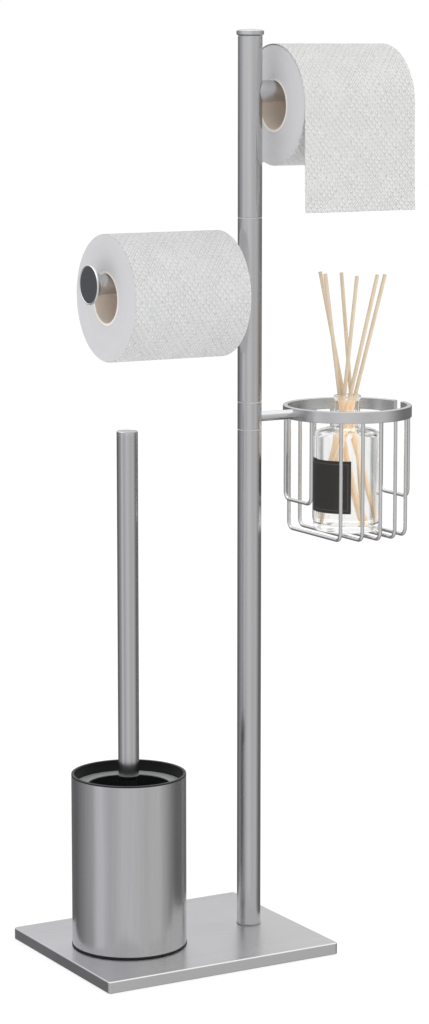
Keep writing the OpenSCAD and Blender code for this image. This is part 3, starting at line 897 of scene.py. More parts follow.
def spoke(angle: float) -> np.ndarray:
    """The level direction at that angle from +X towards +Y."""
    return np.array([math.cos(angle), math.sin(angle), 0])


def tube_outline(outer: float, inner: float, length: float, edge: float) -> Outline:
    """The outline of a tube's wall, with rounded edges."""
    return rounded([(inner, 0), (outer, 0), (outer, length), (inner, length)], edge)


def turn_piece(node: str, body: str, finishes: Finish | Sequence[Finish],
               outline: Sequence[Corner], sides: int, loop: bool = False,
               kind: int | np.ndarray = 0) -> None:
    """Makes an upright piece in a CAD node's place, turned from (radius, height) points."""
    rows = spun(outline, Place.of(node).foot, steps=sides)
    Shape("fine_" + node).net(rows, loop=loop, kind=kind).make(body, finishes, node)


def hose(path: np.ndarray, radius: float, sides: int) -> np.ndarray:
    """Rings of points round a path.

    Args:
        path: The points of the path.
        radius: The radius of the rings.
        sides: How many points a ring has.

    Returns:
        A ring for each point of the path.
    """
    ahead = np.gradient(path, axis=0)
    ahead /= np.linalg.norm(ahead, axis=1)[:, None]
    askew = (0.31, 0.55, 0.77)
    side = np.cross(ahead[0], askew)
    rings = []
    for point, forward in zip(path, ahead):
        side = side - forward * (side @ forward)
        side /= np.linalg.norm(side)
        up = np.cross(forward, side)
        angles = np.arange(sides) * TAU / sides
        rings.append(point + radius * (np.cos(angles)[:, None] * side
                                       + np.sin(angles)[:, None] * up))
    return np.array(rings)


def saddle(row: np.ndarray, axis: Vector, radius: float, side: int) -> None:
    """Cuts a ring of points to the +X or the -X side, 1 or -1, of an upright round tube."""
    row[:, 0] = axis.x + side * np.sqrt(radius ** 2 - (row[:, 1] - axis.y) ** 2)


@dataclass
class Base:
    """The base: a pressed steel cover over a cast iron weight on a rubber pad.

    Attributes:
        wall: Thickness of the cover.
        corner: Radius of its upright corners.
        brim: Width of the bevel round its upper edge.
        crease: Rounding of the bevel's two edges.
        hem: Rounding of the lower edge.
        steps: How many stretches the rounding of the bevel's edges has.
    """

    wall: float = 1.2 * MM
    corner: float = 3 * MM
    brim: float = 0.85 * MM
    crease: float = 0.25 * MM
    hem: float = 0.3 * MM
    steps: int = 3

    def outline(self, place: Place, inset: float, height: float) -> np.ndarray:
        """A rounded rectangle.

        Args:
            place: The box that it fits.
            inset: How far inside the box it lies.
            height: Its height.

        Returns:
            Its points.
        """
        half = place.size / 2
        radius = max(self.corner - inset, 0.6 * MM)
        reach = (half.x - inset - radius, half.y - inset - radius)
        quarters = [bow((sx * reach[0], sy * reach[1]), (radius, radius), (turn, turn + 90), 8)
                    for sx, sy, turn in ((1, 1, 0), (-1, 1, 90), (-1, -1, 180), (1, -1, 270))]
        middle = place.middle
        return np.array([(middle.x + x, middle.y + y, height) for q in quarters for x, y in q])

    def cover(self) -> None:
        """The pressed cover, open underneath."""
        place = Place.of("base_cover")
        low, high = place.low.z, place.high.z
        bevel = rounded([(0, low), (0, high - self.brim), (self.brim, high),
                         (4 * self.brim, high)], self.crease, self.steps)
        edge = bevel[self.steps + 1:3 * (self.steps + 1)]
        levels = [(self.wall, low), (self.hem, low), (0, low + self.hem), *edge]
        rows = [self.outline(place, inset, height) for inset, height in levels]
        inner = [self.outline(place, self.wall, height) for height in (low, high - self.wall)]
        shape = Shape("fine_base_cover").net(np.array(rows)).lid(rows[-1])
        shape.net(np.array(inner)).lid(inner[-1])
        shape.make("base", BRUSHED_PLATE, "base_cover")

    def build(self) -> None:
        """Makes the cover and dresses what is under it."""
        self.cover()
        dress(IRON, "base_weight")
        dress(RUBBER, "anti_slip_pad")
        dress(ZINC, "pole_bolt", "pole_bolt_washer")


@dataclass
class Pole:
    """The pole: a fixed tube, three turning sleeves, the seams between them and the cap.

    Attributes:
        wall: Wall of the tubes.
        edge: Rounding of the tubes' ends.
        crown: How far the cap's middle stands above its edge.
        brow: Where on its round the cap's dome starts and where the round ends, in radians.
        bolt_r: Radius of the hole in the gasket.
        boss_r: Radius of the cap's boss inside the sleeve.
        sides: How many points go round a tube.
    """

    wall: float = 1.2 * MM
    edge: float = 0.3 * MM
    crown: float = 0.9 * MM
    brow: tuple[float, float] = (1.05, 1.2)
    bolt_r: float = 5 * MM
    boss_r: float = 8 * MM
    sides: int = 112

    def tube(self, node: str, body: str) -> None:
        """One tube of the pole.

        Args:
            node: The CAD node that it stands for.
            body: The body that it rides on.
        """
        size = Place.of(node).size
        outline = tube_outline(size.y / 2, size.y / 2 - self.wall, size.z, self.edge)
        turn_piece(node, body, BRUSHED, outline, self.sides, loop=True)

    def gasket(self) -> None:
        """The thin grey ring at the pole's foot, with a rounded lip."""
        size = Place.of("foot_gasket").size
        outline = tube_outline(size.x / 2, self.bolt_r, size.z, 0.4 * MM)
        turn_piece("foot_gasket", "base", GASKET, outline, self.sides, loop=True)

    def cap(self) -> None:
        """The cap: a flange with a bevel under it, a domed top and a boss inside the sleeve."""
        place = Place.of("pole_cap")
        pole = Place.of("lower_tube").size.y / 2
        seat = Place.of("top_washer").high.z - place.low.z
        radius, high, boss = place.size.x / 2, place.size.z, self.boss_r
        start, end = self.brow
        dome = [(radius * math.sin(a), high - self.crown * (1 - math.cos(a)) / (1 - math.cos(end)))
                for a in np.linspace(start, 0, 9)]
        side = rounded([(boss - 0.4 * MM, 0), (boss, 0.4 * MM), (boss, seat),
                        (pole - 0.2 * MM, seat), (radius, seat + 0.9 * MM),
                        (radius, high - 1.25 * MM, 0.9 * MM), (radius * 0.93, high - 0.95 * MM)],
                       0.2 * MM)
        turn_piece("pole_cap", "base", POLISHED, [(0, 0), *side, *dome], self.sides)

    def build(self) -> None:
        """Makes the tubes, the gasket and the cap, and dresses what is inside."""
        self.tube("lower_tube", "base")
        self.tube("collar_sleeve", "basket")
        self.tube("middle_sleeve", "middle_arm")
        self.tube("upper_sleeve", "upper_arm")
        self.gasket()
        self.cap()
        dress(ZINC, "foot_plug", "top_plug", "spindle")
        dress(NYLON, "lower_seam_washer", "middle_seam_washer", "upper_seam_washer",
              "collar_bushes", "middle_bushes", "upper_bushes")
        dress(GREY_NYLON, "top_washer")


@dataclass
class Arm:
    """A roll arm: the shoulder at the pole, the tube and the trumpet-shaped stop.

    Attributes:
        level: The section of the pole that carries it, middle or upper.
        way: How it points.
        shoulder: Radius of the shoulders.
        reach: Distance of the inner shoulder's end from the pole's axis.
        wall: Wall of the tube.
        edge: Rounding of the shoulders.
        flare: Length of the stop's flare.
        band: Thickness of the stop's edge.
        rim: Width of the bead round the stop's face, whose near-white steel is a painted highlight.
        face_depth: How far the stop's face lies below its rim.
        sides: How many points go round the shoulder and the tube.
    """

    level: str
    way: Way
    shoulder: float = 10 * MM
    reach: float = 22 * MM
    wall: float = 1.2 * MM
    edge: float = 1 * MM
    flare: float = 7.6 * MM
    band: float = 1.6 * MM
    rim: float = 1.2 * MM
    face_depth: float = 0.45 * MM
    sides: int = 96

    @property
    def body(self) -> str:
        """The body that the arm rides on."""
        return self.level + "_arm"

    @property
    def axis(self) -> Vector:
        """The point where the arm's axis meets the pole's."""
        pole = Place.of("lower_tube").middle
        return Vector((pole.x, pole.y, Place.of(self.level + "_arm_tube").middle.z))

    def boss(self) -> None:
        """The shoulder that is screwed to the pole, cut to the pole's round."""
        pole = Place.of("lower_tube").size.y / 2
        edge = self.edge
        outline = [(self.shoulder, pole), (self.shoulder, pole + 1 * MM),
                   *bow((self.shoulder - edge, self.reach - edge), (edge, edge), (0, 90), 6),
                   (0, self.reach)]
        rows = spun(outline, self.axis, self.way, self.sides)
        saddle(rows[0], self.axis, pole, self.way.value[0][0])
        Shape(f"fine_{self.level}_arm_boss").net(rows).lid(rows[0]).make(
            self.body, SATIN, self.level + "_arm_boss")

    def tube(self) -> None:
        """The arm's tube."""
        node = self.level + "_arm_tube"
        place = Place.of(node)
        radius = place.size.y / 2
        foot = Vector((place.low.x, self.axis.y, self.axis.z))
        outline = tube_outline(radius, radius - self.wall, place.size.x, 0.2 * MM)
        rows = spun(outline, foot, Way.RIGHT, self.sides)
        Shape("fine_" + node).net(rows, loop=True).make(self.body, SATIN, node)

    def stop(self) -> None:
        """The stop: a rounded shoulder, a flare, and a face in darker steel as a painted
        reflection, inside a rim in pale steel as a painted highlight.
        """
        node = self.level + "_arm_stop"
        place = Place.of(node)
        radius = place.size.y / 2
        end = max(abs(place.low.x - self.axis.x), abs(place.high.x - self.axis.x))
        edge = self.edge
        start = end - self.band - self.flare - edge
        rise = radius - self.shoulder
        curve = (self.flare ** 2 + rise ** 2) / (2 * rise)
        sweep = math.degrees(math.asin(self.flare / curve))
        back = [
            (0, start), (self.shoulder - edge, start),
            *bow((self.shoulder - edge, start + edge), (edge, edge), (-90, 0), 5)[1:],
            *bow((self.shoulder + curve, start + edge), (curve, curve), (180, 180 - sweep), 16)[1:]]
        bead = bow((radius - self.rim / 2, end - self.rim / 2), (self.rim / 2, self.rim / 2),
                   (-20, 160), 10)
        face = [(radius - self.rim - GAP, end - self.face_depth), (0, end - self.face_depth)]
        rows = spun([*back, *bead, *face], self.axis, self.way)
        kinds = np.repeat([0, 1, 2], [len(back), len(bead), len(face) - 1])
        Shape("fine_" + node).net(rows, kind=kinds).make(self.body, (SATIN, BEAD_PAINTED_HIGHLIGHT, DISC_PAINTED_DARK), node)

    def build(self) -> None:
        """Makes the arm's three shown pieces and dresses its screw."""
        self.boss()
        self.tube()
        self.stop()
        dress(ZINC, self.level + "_arm_screw")


@dataclass
class Roll:
    """A toilet roll on its cardboard core.

    Attributes:
        level: The arm that it hangs on, middle or upper.
        mesh_size: Distance between the points of its paper.
        wall: Wall of the core.
        rim: Bevel of the core's edges.
        brim: Rounding of the paper's edges.
        face_rings: How many rings of faces each of its ends has.
        slack: How uneven its wound ends are.
        drift: Steps outwards over which that changes, a short one and a long one.
        tail: Height of the step where the outer layer ends.
    """

    level: str
    mesh_size: float = 0.85 * MM
    wall: float = 2.4 * MM
    rim: float = 0.4 * MM
    brim: float = 1.6 * MM
    face_rings: int = 16
    slack: float = 0.18 * MM
    drift: tuple[float, float] = (2.1 * MM, 5.3 * MM)
    tail: float = 0.25 * MM

    def core(self) -> None:
        """The cardboard core, whose rims are paler than its wall."""
        node = self.level + "_roll_core"
        place = Place.of(node)
        outer, length, edge = place.size.y / 2, place.size.x, self.rim
        inner = outer - self.wall
        across = [(outer, edge), (outer, length - edge), (outer - edge, length),
                  (inner + edge, length), (inner, length - edge), (inner, edge),
                  (inner + edge, 0), (outer - edge, 0)]
        rows = spun(across, place.start, Way.RIGHT)
        flat = self.laid_out([(outer, a) for _, a in across], rows.shape[1])
        Shape("fine_" + node).net(rows, loop=True, kind=np.array([0, 1, 1, 1, 0, 1, 1, 1]),
                                  flat=flat).make(self.level + "_roll", (LIGHTENED_CARD, CARD_EDGE), node)

    @staticmethod
    def laid_out(outline: Sequence[Corner], steps: int) -> np.ndarray:
        """Where the points of a turned surface lie when it is unrolled.

        Args:
            outline: Its outline, (radius, place along the axis).
            steps: How many points go round.

        Returns:
            The place along and across for each point, with the first row and point again at
            the end.
        """
        radius, across = np.array([*outline, outline[0]], float).T
        turn = np.arange(steps + 1) * TAU / steps
        return np.stack([radius[:, None] * turn, across[:, None] + 0 * turn], -1)

    def profile(self, inner: float, outer: float, length: float) -> Outline:
        """The outline of the wound paper.

        Args:
            inner: Its inner radius.
            outer: Its outer radius.
            length: Its length.

        Returns:
            Points from one end's bore over the skin to the other end's.
        """
        brim, rings = self.brim, self.face_rings
        count = round((length - 2 * brim) / self.mesh_size)
        skin = [(outer, brim + (length - 2 * brim) * k / count) for k in range(count + 1)]
        face = [(inner + (outer - brim - inner) * k / rings, 0) for k in range(rings + 1)]
        near = bow((outer - brim, brim), (brim, brim), (-90, 0), 5)[1:-1]
        far = [(r, length - a) for r, a in reversed(near)]
        return [*face, *near, *skin, *far, *((r, length) for r, _ in reversed(face))]

    def paper(self) -> None:
        """The wound paper: quilted outside, with the edges of its layers at the ends."""
        node = self.level + "_roll_paper"
        place = Place.of(node)
        outer, length = place.size.y / 2, place.size.x
        inner = Place.of(self.level + "_roll_core").size.y / 2 + GAP
        outline = self.profile(inner, outer, length)
        steps = round(TAU * outer / self.mesh_size)
        foot = place.start
        rows = spun(outline, foot, Way.RIGHT, steps)
        flat = self.laid_out([(outer, a) for _, a in outline], steps)
        radii = np.array([r for r, _ in outline])
        cut = radii < outer - 0.7 * self.brim
        turn = np.arange(steps + 1) * TAU / steps
        flat[:-1][cut] = np.stack(np.meshgrid(radii[cut], turn, indexing="ij"), -1)
        kinds = (cut | np.roll(cut, -1)).astype(int)
        quilting = QUILTING.round(TAU * outer)
        relief = quilting.relief(flat[:-1, :-1, 0], flat[:-1, :-1, 1])
        skin = (radii > outer - NEAR)[:, None]
        outside = (radii > outer - self.brim)[:, None]
        winding = self.tail * turn[:-1] / TAU
        sink = np.where(skin, quilting.depth * (1 - relief), 0) + winding * outside
        self.press(rows, foot, sink)
        self.unsettle(rows, radii, length, foot)
        finish = replace(TISSUE, name=f"wound_tissue_{self.level}", quilting=quilting)
        Shape("fine_" + node).net(rows, loop=True, kind=kinds, flat=flat).make(
            self.level + "_roll", (finish, SHADED_LAYERS), node, sharp=60, even=False)

    @staticmethod
    def press(rows: np.ndarray, foot: Vector, sink: np.ndarray) -> None:
        """Moves each point by its sink towards the axis through the foot."""
        reach = rows[..., 1:] - np.array(foot)[1:]
        rows[..., 1:] -= reach / np.linalg.norm(reach, axis=-1)[..., None] * sink[..., None]

    def unsettle(self, rows: np.ndarray, radii: np.ndarray, length: float, foot: Vector) -> None:
        """Lets the layers at the ends stand back by different amounts.

        Args:
            rows: The points.
            radii: The distance of each row from the axis.
            length: Length of the roll.
            foot: A point on the axis at the roll's start.
        """
        short, long = self.drift
        waves = 0.5 + 0.5 * np.sin(radii / short) * np.cos(radii / long)
        place = rows[..., 0] - foot.x
        start, end = place < NEAR, place > length - NEAR
        rows[..., 0] += self.slack * waves[:, None] * (start * 1.0 - end * 1.0)

    def build(self) -> None:
        """Makes the core and the paper."""
        self.core()
        self.paper()


@dataclass
class DrawnSheet:
    """The paper drawn from the upper roll: it goes over the roll and hangs down in front.

    Attributes:
        thickness: Thickness of the paper.
        solid_t: Thickness of the CAD sheet, whose middle it follows.
        tail: Angle at which it leaves the wound paper, in degrees from +Y towards +Z.
        blend: Angle over which it sinks into the wound paper, in degrees.
        mesh_size: Distance between its points.
        flare: How far its lower edge stands forward.
        level: Share of that on its -X side, which grows to the whole of it at +X.
        wave: How far its lower edge waves.
        ripple: The wave's turn across the sheet, where it starts, and its turn down the sheet,
            in radians.
    """

    thickness: float = 0.4 * MM
    solid_t: float = 0.6 * MM
    tail: float = -70
    blend: float = 60
    mesh_size: float = 0.9 * MM
    flare: float = 3.0 * MM
    level: float = 0.35
    wave: float = 1.6 * MM
    ripple: tuple[float, float, float] = (5.2, 0.4, 2.4)

    def sway(self, along: np.ndarray, side: np.ndarray) -> np.ndarray:
        """How far each place stands forward, by its share of the way down and across."""
        wide, start, deep = self.ripple
        return along ** 2 * (self.flare * (self.level + (1 - self.level) * side ** 2)
                             + self.wave * np.sin(side * wide + start) * np.sin(along * deep))

    def build(self) -> None:
        """Makes the sheet."""
        place = Place.of("hanging_sheet")
        roll = Place.of("upper_roll_paper")
        radius = (place.size.y - self.solid_t) / 2
        wrap = math.radians(180 - self.tail)
        drop = roll.middle.z - place.low.z
        length = wrap * radius + drop
        steps = round(length / self.mesh_size)
        columns = round(place.size.x / self.mesh_size)
        way = np.linspace(0, length, steps + 1)
        across = np.linspace(0, place.size.x, columns + 1)
        turn = np.minimum(way / radius, wrap) + math.radians(self.tail)
        hang = np.maximum(way - wrap * radius, 0)
        least = self.thickness / 2 + QUILTING.depth + GAP
        sunk = max(0.0, radius - roll.size.y / 2 - least) * (
            1 - np.clip(way / radius / math.radians(self.blend), 0, 1)) ** 2
        reach = radius - sunk
        along, side = np.meshgrid(hang / drop, across / place.size.x, indexing="ij")
        normal_y = np.cos(turn)[:, None] + 0 * side
        normal_z = np.sin(turn)[:, None] + 0 * side
        relief = QUILTING.relief(way[:, None] + 0 * side, across[None] + 0 * along)
        sides = []
        for lift in (self.thickness / 2, -self.thickness / 2):
            depth = reach[:, None] + lift + QUILTING.depth * (relief - 1)
            sides.append(np.stack([
                place.low.x + across[None] + 0 * along,
                roll.middle.y + normal_y * depth - self.sway(along, side),
                roll.middle.z + normal_z * depth - hang[:, None]], -1))
        flat = np.stack(np.meshgrid(way, across, indexing="ij"), -1)
        front, back = sides
        shape = Shape("drawn_sheet").net(front, ring=False, flat=flat)
        shape.net(back, ring=False, flat=flat)
        for edge in (lambda p: p[0], lambda p: p[-1], lambda p: p[:, 0], lambda p: p[:, -1]):
            rim = np.stack([edge(front), edge(back)])
            shape.net(rim, ring=False, flat=np.stack([edge(flat)] * 2))
        piece = shape.make("upper_arm", SHEET, "hanging_sheet", sharp=60, even=False)


@dataclass
class Basket:
    """The basket: an arm, a flat ring that is open on the far side, and seven bent wires.

    Attributes:
        ring_t: Thickness of the ring.
        gap: Width of the ring's opening.
        wire_d: Diameter of a wire.
        bend: Radius of the bends in a wire, at its middle line.
        ring_sides: How many stretches the ring has.
    """

    ring_t: float = 4.5 * MM
    gap: float = 12 * MM
    wire_d: float = 3.4 * MM
    bend: float = 7 * MM
    ring_sides: int = 200

    def arm(self) -> None:
        """The arm between the collar and the ring, cut to both rounds."""
        collar, ring = Place.of("collar_sleeve"), Place.of("basket_ring")
        place = Place.of("basket_arm")
        radius = place.size.z / 2
        axis = Vector((collar.middle.x, collar.middle.y, place.middle.z))
        middle = Vector((ring.low.x + ring.size.y / 2, axis.y, axis.z))
        start, end = collar.size.y / 2, middle.x - ring.size.y / 2 - axis.x
        outline = [(radius, start), (radius, (start + end) / 2), (radius, end)]
        rows = spun(outline, axis, Way.RIGHT, 64)
        saddle(rows[0], axis, start, 1)
        saddle(rows[-1], middle, ring.size.y / 2, -1)
        Shape("fine_basket_arm").net(rows).lid(rows[0]).lid(rows[-1]).make(
            "basket", POLISHED, "basket_arm")

    def ring(self) -> None:
        """The flat ring with its opening."""
        place = Place.of("basket_ring")
        radius = place.size.y / 2
        half = math.asin(self.gap / 2 / (radius - self.ring_t / 2))
        outline = tube_outline(radius, radius - self.ring_t, place.size.z, 0.6 * MM)
        foot = Vector((place.low.x + radius, place.middle.y, place.low.z))
        rows = spun(outline, foot, steps=self.ring_sides, turn=(half, TAU - half))
        shape = Shape("fine_basket_ring").net(rows, ring=False, loop=True)
        for j in (0, -1):
            shape.lid(rows[:, j])
        shape.make("basket", BRUSHED_RING, "basket_ring")

    def wire(self, number: int) -> None:
        """One wire, bent to a U under the ring.

        Args:
            number: Its number in the row.
        """
        place = Place.of(f"basket_wire_{number}")
        radius = self.wire_d / 2
        x = place.middle.x
        low, high = place.low.z + radius, place.high.z
        leg = place.size.y / 2 - radius
        corner = bow((leg - self.bend, low + self.bend), (self.bend, self.bend), (0, -90), 10)
        straight = [(leg, z) for z in np.linspace(high, low + self.bend, 8)[:-1]]
        half = [*straight, *corner]
        points = [*half, *((-y, z) for y, z in reversed(half))]
        path = np.array([(x, place.middle.y + y, z) for y, z in points])
        rows = hose(path, radius, 24)
        Shape(f"fine_basket_wire_{number}").net(rows).lid(rows[0]).lid(rows[-1]).make(
            "basket", WIRE_STEEL, f"basket_wire_{number}", even=False)

    def build(self) -> None:
        """Makes the arm, the ring and the wires, and dresses the screw."""
        self.arm()
        self.ring()
        for number in range(1, 8):
            self.wire(number)
        dress(ZINC, "basket_arm_screw")


@dataclass
class Diffuser:
    """The reed diffuser: a clear bottle with a plain label, and six reeds.

    Attributes:
        side: Height at which the bottle's side ends.
        shoulder: Height of its shoulder.
        neck: Outer radius of its neck.
        neck_wall: Wall of the neck.
        wall: Wall of the bottle.
        floor: Thickness of its floor.
        dip: How much lower the floor is in its middle.
        bowl: Radius of the edge of the floor inside.
        heel: Radius of its lower edge.
        punt: Height of the hollow underneath, in its middle and at its edge.
        lip: Height of the lip.
        lip_out: How far the lip stands out round the neck.
        fill: How far round the shoulder the fragrance oil stands, in degrees. It shows the
            reeds magnified.
        label_face: Direction in which the label faces, in degrees from +X towards +Y.
        label_turn: Part of the bottle's turn that it covers, in degrees.
        label_t: Its thickness.
        reed_r: Radius of a reed, measured to the corners of the CAD reed.
        reed_sides: How many points go round a reed.
        stretches: How many stretches a reed has. The lower half of them stands in the oil.
        sides: How many points go round the bottle, and twice as many as the label has.
    """

    side: float = 88.5 * MM
    shoulder: float = 7.5 * MM
    neck: float = 11.8 * MM
    neck_wall: float = 1.9 * MM
    wall: float = 2.5 * MM
    floor: float = 6 * MM
    dip: float = 0.6 * MM
    bowl: float = 3 * MM
    heel: float = 4 * MM
    punt: tuple[float, float] = (1.2 * MM, 1.0 * MM)
    lip: float = 3.5 * MM
    lip_out: float = 0.8 * MM
    fill: float = 62
    label_face: float = 192
    label_turn: float = 106
    label_t: float = 0.2 * MM
    reed_r: float = 1.85 * MM
    reed_sides: int = 20
    stretches: int = 12
    sides: int = 144

    def bottle(self) -> None:
        """The bottle, with the wall of real glass, and the oil in it."""
        place = Place.of("bottle")
        radius, height = place.size.x / 2, place.size.z
        bore, throat = radius - self.wall, self.neck - self.neck_wall
        stand, bowl, half_lip = radius - self.heel, self.bowl, self.lip_out / 2
        outside = [
            (0, self.punt[0]), (stand - 6 * MM, self.punt[1]), (stand - 3 * MM, 0),
            *bow((stand, self.heel), (self.heel, self.heel), (-90, 0), 8),
            *bow((self.neck, self.side), (radius - self.neck, self.shoulder), (0, 90), 20),
            (self.neck, height - self.lip - 1.2 * MM),
            *bow((self.neck + half_lip, height - self.lip / 2), (half_lip, self.lip / 2),
                 (-90, 90), 8)]
        inside = [
            (throat, height - 0.4 * MM),
            *bow((throat, self.side), (bore - throat, self.shoulder - self.wall), (90, 0), 20),
            *bow((bore - bowl, self.floor + bowl), (bowl, bowl), (0, -90), 6),
            (0, self.floor - self.dip)]
        shape = Shape("fine_bottle")
        shape.net(spun([*outside, *inside], place.foot, steps=self.sides))
        edge, bottom = bore - GAP, self.floor + GAP
        oil = [(0, bottom - self.dip),
               *bow((edge - bowl, bottom + bowl), (bowl, bowl), (-90, 0), 6),
               *bow((throat, self.side), (edge - throat, self.shoulder - self.wall - GAP),
                    (0, self.fill), 16)]
        oil.append((0, oil[-1][1]))
        shape.net(spun(oil, place.foot, steps=self.sides), kind=1)
        shape.make("diffuser", (GLASS, OIL), "bottle", sharp=50)

    def label(self) -> None:
        """The label, bare but for a thin border."""
        place, bottle = Place.of("bottle_label"), Place.of("bottle")
        face, turn = math.radians(self.label_face), math.radians(self.label_turn)
        inner = bottle.size.x / 2 + GAP
        outer = inner + self.label_t
        foot = Vector((bottle.middle.x, bottle.middle.y, place.low.z))
        height = place.size.z
        corners = [(inner, 0), (outer, 0), (outer, height), (inner, height)]
        rows = spun(corners, foot, steps=self.sides // 2, turn=(face - turn / 2, face + turn / 2))
        way = np.linspace(-turn / 2, turn / 2, rows.shape[1]) * outer
        level = np.array([a for _, a in [*corners, corners[0]]]) - height / 2
        flat = np.stack([way[None] + 0 * level[:, None], level[:, None] + 0 * way[None]], -1)
        shape = Shape("fine_bottle_label").net(rows, ring=False, loop=True, flat=flat)
        for j in (0, -1):
            shape.lid(rows[:, j])
        finish = replace(LABEL, half=(turn / 2 * outer, height / 2))
        shape.make("diffuser", finish, "bottle_label")

    @staticmethod
    def axes(node: str) -> list[tuple[np.ndarray, np.ndarray]]:
        """The two ends of each straight round bar in a CAD node.

        Args:
            node: The node.

        Returns:
            The middle of the lower and of the upper end of each bar.
        """
        work = bmesh.new()
        work.from_mesh(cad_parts[node].data)
        bmesh.ops.remove_doubles(work, verts=work.verts, dist=Shape.WELD)
        left, bars = set(work.verts), []
        while left:
            found, edge = set(), [left.pop()]
            while edge:
                point = edge.pop()
                found.add(point)
                near = {e.other_vert(point) for e in point.link_edges} & left
                left -= near
                edge += near
            points = np.array([v.co for v in found])
            middle = points.mean(0)
            along = np.linalg.svd(points - middle, full_matrices=False)[2][0]
            along *= math.copysign(1, along[2])
            places = (points - middle) @ along
            bars.append((middle + along * places.min(), middle + along * places.max()))
        work.free()
        return sorted(bars, key=lambda bar: tuple(bar[1]))

    def reeds(self) -> None:
        """The reeds, each a little bent and cut square, with their lower halves paler as painted
        light.
        """
        shape = Shape("fine_reeds")
        draw = random.Random(SEED)
        share = np.linspace(0, 1, self.stretches + 1)[:, None]
        around = np.arange(self.reed_sides + 1) * TAU / self.reed_sides * self.reed_r
        # The lower half of each reed, and its lower end, takes the paler finish that is painted
        # light.
        painted_light_feet = np.repeat([1, 0], self.stretches // 2)
        for low, high in self.axes("reeds"):
            lean = np.array([draw.uniform(-1, 1), draw.uniform(-1, 1), 0]) * 0.15 * MM
            path = low + (high - low) * share + lean * np.sin(share * math.pi * 2)
            rows = hose(path, self.reed_r * 0.985, self.reed_sides)
            along = share[:, 0] * float(np.linalg.norm(high - low)) + draw.random()
            flat = np.stack(np.meshgrid(along, around, indexing="ij"), -1)
            shape.net(rows, kind=painted_light_feet, flat=flat).lid(rows[0], 1).lid(rows[-1])
        shape.make("diffuser", (REED, REED_FOOT_PAINTED_LIGHT), "reeds", even=False)

    def build(self) -> None:
        """Makes the bottle, the label and the reeds."""
        self.bottle()
        self.label()
        self.reeds()


@dataclass
class Cup:
    """The brush's cup: a steel shell with a black lining, a foot ring and a grey liner.

    Attributes:
        wall: Wall of the shell.
        heel: Radius of the shell's lower edge.
        lining: Wall of the lining.
        lip: Height of the lip that covers the shell's edge.
        ledge: Width of the ledge that carries the liner.
        ledge_t: Thickness of that ledge.
        flange: Thickness of the liner's flange.
        liner_wall: Wall of the liner.
        liner_bore: Inner radius of the liner.
        liner_heel: Radius of the liner's lower edge outside.
        bowl: Radius of its lower edge inside.
        foot_w: Width of the foot ring.
        sides: How many points go round.
    """

    wall: float = 1 * MM
    heel: float = 0.6 * MM
    lining: float = 1.6 * MM
    lip: float = 1.4 * MM
    ledge: float = 4 * MM
    ledge_t: float = 3 * MM
    flange: float = 2.5 * MM
    liner_wall: float = 1.5 * MM
    liner_bore: float = 37 * MM
    liner_heel: float = 4 * MM
    bowl: float = 3 * MM
    foot_w: float = 12 * MM
    sides: int = 176

    def shell(self) -> None:
        """The steel shell."""
        size = Place.of("cup_shell").size
        radius, height = size.x / 2, size.z
        heel, bore = self.heel, radius - self.wall
        outline = [(0, 0), *bow((radius - heel, heel), (heel, heel), (-90, 0), 4),
                   (radius, height), (bore, height), (bore, self.wall), (0, self.wall)]
        turn_piece("cup_shell", "base", BRUSHED_CUP, outline, self.sides)

    def inside(self) -> None:
        """The lining with its lip and ledge."""
        place, liner = Place.of("cup_lining"), Place.of("liner")
        radius, height = place.size.x / 2, place.size.z
        outer = radius - self.wall - GAP
        inner = outer - self.lining
        seat = liner.high.z - self.flange - place.low.z
        corners = [(inner, 0), (outer, 0), (outer, height - self.lip, 0),
                   (radius, height - self.lip, 0.15 * MM), (radius, height, 0.4 * MM),
                   (inner, height, 0.5 * MM), (inner, seat, 0), (inner - self.ledge, seat),
                   (inner - self.ledge, seat - self.ledge_t),
                   (inner, seat - self.ledge_t - self.ledge)]
        turn_piece("cup_lining", "base", BLACK, rounded(corners, 0.3 * MM), self.sides, loop=True)

    def liner(self) -> None:
        """The liner that catches the drips, with its flange."""
        size = Place.of("liner").size
        radius, height = size.x / 2, size.z
        bore, bowl, heel = self.liner_bore, self.bowl, self.liner_heel
        outer, seat = bore + self.liner_wall, height - self.flange
        outside = [(0, 0), *bow((outer - heel, heel), (heel, heel), (-90, 0), 6), (outer, seat),
                   *rounded([(outer, seat, 0), (radius, seat), (radius, height),
                             (bore, height, 0.8 * MM)], 0.4 * MM)]
        inside = [*bow((bore - bowl, bowl + self.liner_wall), (bowl, bowl), (0, -90), 6),
                  (0, self.liner_wall)]
        kinds = np.repeat([0, 1], [len(outside) - 1, len(inside)])
        turn_piece("liner", "base", (GREY, BLACK), [*outside, *inside], self.sides, kind=kinds)

    def foot(self) -> None:
        """The thin ring under the cup."""
        size = Place.of("cup_foot_ring").size
        outline = tube_outline(size.x / 2, size.x / 2 - self.foot_w, size.z, 0.5 * MM)
        turn_piece("cup_foot_ring", "base", RUBBER, outline, self.sides, loop=True)

    def build(self) -> None:
        """Makes the shell, the lining, the liner and the foot ring, and dresses the screw."""
        self.shell()
        self.inside()
        self.liner()
        self.foot()
        dress(ZINC, "cup_screw")


